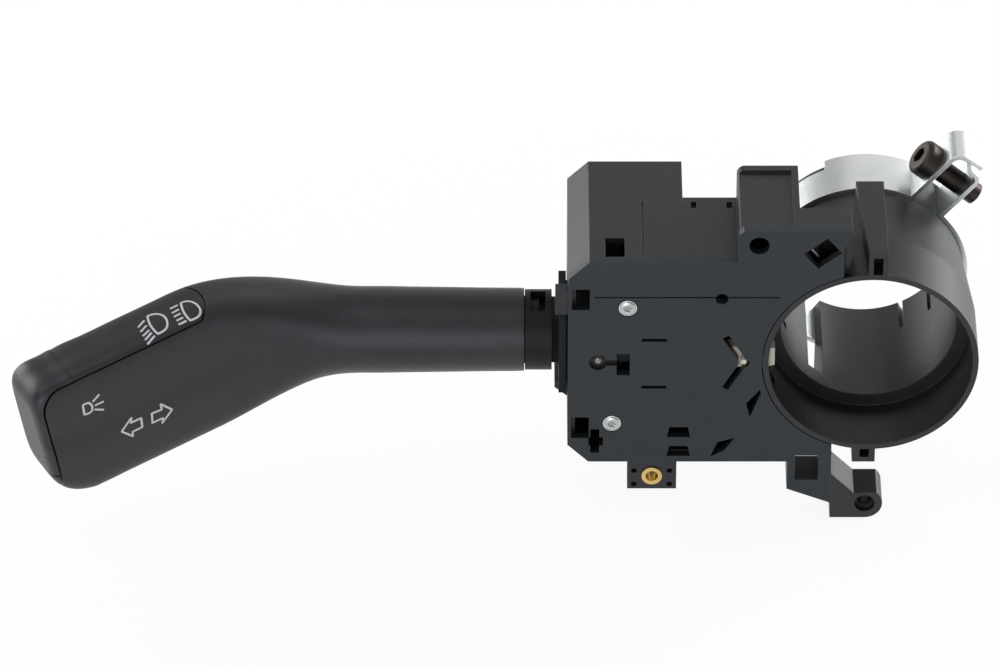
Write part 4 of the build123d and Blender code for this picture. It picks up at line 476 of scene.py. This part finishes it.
def shell_surface(names):
    """Return a tree of the faces of some CAD nodes, to lay things on."""
    corners = []
    faces = []
    for name in names:
        mesh = frame["nodes"][name].data
        offset = len(corners)
        corners.extend(vertex.co.copy() for vertex in mesh.vertices)
        faces.extend([offset + corner for corner in polygon.vertices] for polygon in mesh.polygons)
    return BVHTree.FromPolygons(corners, faces)


def laid_on(tree, across, down):
    """Return the point and normal of the shell behind a place in the view."""
    right = VIEW_RIGHT * (across - MIDDLE_ACROSS) * STEP
    target = AIM + right + VIEW_UP * (MIDDLE_DOWN - down) * STEP
    point, normal, _, _ = tree.ray_cast(CAMERA_PLACE, target - CAMERA_PLACE)
    return point, normal


def stations_along(line, closed):
    """Return places close together along a line, which may run back to its start."""
    ends = [*line, line[0]] if closed else line
    stations = []
    for (x0, y0), (x1, y1) in zip(ends, ends[1:]):
        count = max(1, round(math.hypot(x1 - x0, y1 - y0) / PRINT_STEP))
        stations.extend((x0 + (x1 - x0) * n / count, y0 + (y1 - y0) * n / count) for n in range(count))
    if not closed:
        stations.append(ends[-1])
    return stations


def stroke(tree, line, closed):
    """Return the corners and faces of a raised printed line laid on the shell."""
    laid = [laid_on(tree, across, down) for across, down in stations_along(line, closed)]
    total = len(laid)
    corners = []
    for index, (point, normal) in enumerate(laid):
        before = laid[index - 1][0] if closed or index else point
        after = laid[(index + 1) % total][0] if closed or index < total - 1 else point
        side = (after - before).cross(normal).normalized() * PRINT_WIDTH / 2
        up = normal * PRINT_RISE
        down = normal * -PRINT_SINK
        corners.extend((point + side + down, point + side + up, point - side + up, point - side + down))
    faces = []
    for index in range(total if closed else total - 1):
        here = LINE_CORNERS * index
        there = LINE_CORNERS * ((index + 1) % total)
        for corner in range(LINE_CORNERS):
            beside = (corner + 1) % LINE_CORNERS
            faces.append((here + corner, here + beside, there + beside, there + corner))
    if not closed:
        last = LINE_CORNERS * (total - 1)
        faces.append((3, 2, 1, 0))
        faces.append((last, last + 1, last + 2, last + 3))
    return corners, faces


def print_symbol(tree, name, outline, bars, shift, ink):
    """Build one printed symbol from a closed outline and open bars, moved by a shift in the view."""
    corners = []
    faces = []
    for line in (outline, *bars):
        moved = [(across + shift[0], down + shift[1]) for across, down in line]
        more_corners, more_faces = stroke(tree, moved, closed=line is outline)
        offset = len(corners)
        corners.extend(more_corners)
        faces.extend(tuple(offset + corner for corner in face) for face in more_faces)
    symbol = make_mesh(name, corners, faces, ink)
    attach(symbol, "stalk")


def print_symbols(finishes):
    """Print the lamp and arrow symbols on the paddle."""
    tree = shell_surface(("lever_front_shell", "lever_cap"))
    for name, outline, bars, shift in SYMBOLS:
        print_symbol(tree, name, outline, bars, shift, finishes["icon_print"])


# Small turned details

TURNED_SIDES = 48

# The cover screws' recess, with six lobes
LOBES = 6
LOBE_R = 1.0 * MM
LOBE_WAVE = 0.2 * MM

# Their dome: the rings as shares of its radius, its span as a share of a half round, and how far the
# middle is lifted, the whole is sunk, and a head's front face may reach back
SCREW_DOME_R = 2.15 * MM
SCREW_DOME_RISE = 0.55 * MM
SCREW_DOME_SHARES = (0.6, 0.7, 0.8, 0.9, 0.97, 1.0)
SCREW_DOME_SPAN = 0.98
SCREW_DOME_LIFT = 0.1 * MM
SCREW_DOME_SINK = 0.05 * MM
SCREW_FACE_DEPTH = 0.1 * MM

# The rings of the turn pivot's end: radius and height in millimetres
PIN_DOME = ((0.01, 0.18), (0.25, 0.14), (0.42, 0.34), (0.7, 0.3), (0.95, 0.12), (1.1, -0.25))


def turned(name, rings, centre, material, body):
    """Build rings of points round a line towards the driver into one piece and hang it on a body.

    A ring is a function of the angle that gives the radius, and the height in front of the centre.
    """
    corners = []
    for radius_at, height in rings:
        for side in range(TURNED_SIDES):
            angle = 2 * math.pi * side / TURNED_SIDES
            radius = radius_at(angle)
            corners.append((
                centre[0] + radius * math.cos(angle),
                centre[1] - height,
                centre[2] + radius * math.sin(angle),
            ))
    faces = []
    for ring in range(len(rings) - 1):
        here = ring * TURNED_SIDES
        there = here + TURNED_SIDES
        for side in range(TURNED_SIDES):
            beside = (side + 1) % TURNED_SIDES
            faces.append((here + side, here + beside, there + beside, there + side))
    piece = make_mesh(name, corners, faces, material)
    for polygon in piece.data.polygons:
        polygon.use_smooth = True
    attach(piece, body)


def even(radius):
    """Return a ring's radius that is the same at every angle."""
    return lambda angle: radius


def lobed(radius):
    """Return a ring's radius with six lobes."""
    return lambda angle: radius + LOBE_WAVE * math.cos(LOBES * angle)


def middle(numbers):
    """Return the middle between the lowest and the highest number."""
    return (min(numbers) + max(numbers)) / 2


def screw_centres():
    """Return the middle of each cover screw's front face, the upper screw first."""
    points = [vertex.co for vertex in frame["nodes"]["cover_screws"].data.vertices]
    front = min(point.y for point in points)
    between = middle([point.z for point in points])
    face = [point for point in points if point.y < front + SCREW_FACE_DEPTH]
    centres = []
    for above in (True, False):
        half = [point for point in face if (point.z > between) == above]
        centres.append((middle([point.x for point in half]), front, middle([point.z for point in half])))
    return centres


def screw_domes(finishes):
    """Raise the round heads of the two cover screws round their six-lobe recess."""
    for index, centre in enumerate(screw_centres()):
        rings = [(lobed(LOBE_R), -SCREW_DOME_SINK), (lobed(LOBE_R), SCREW_DOME_RISE)]
        for share in SCREW_DOME_SHARES:
            fall = math.sqrt(1 - (share * SCREW_DOME_SPAN) ** 2)
            rings.append((even(SCREW_DOME_R * share), SCREW_DOME_RISE * fall + SCREW_DOME_LIFT * (1 - share)))
        rings.append((even(SCREW_DOME_R), -SCREW_DOME_SINK))
        turned(f"screw_dome_{index}", rings, centre, finishes["screw_zinc"], "root")


def pin_dome(finishes):
    """Round the end of the turn pivot, with its small dimple."""
    low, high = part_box("rotor_pins")
    centre = ((low[0] + high[0]) / 2, low[1], (low[2] + high[2]) / 2)
    rings = [(even(radius * MM), height * MM) for radius, height in PIN_DOME]
    turned("pivot_end", rings, centre, finishes["pin_steel"], "turn_frame")


make_camera()
make_light()
make_floor()
finishes = make_materials()
dress_nodes(finishes)
print_symbols(finishes)
screw_domes(finishes)
pin_dome(finishes)

scene.view_settings.view_transform = "Standard"
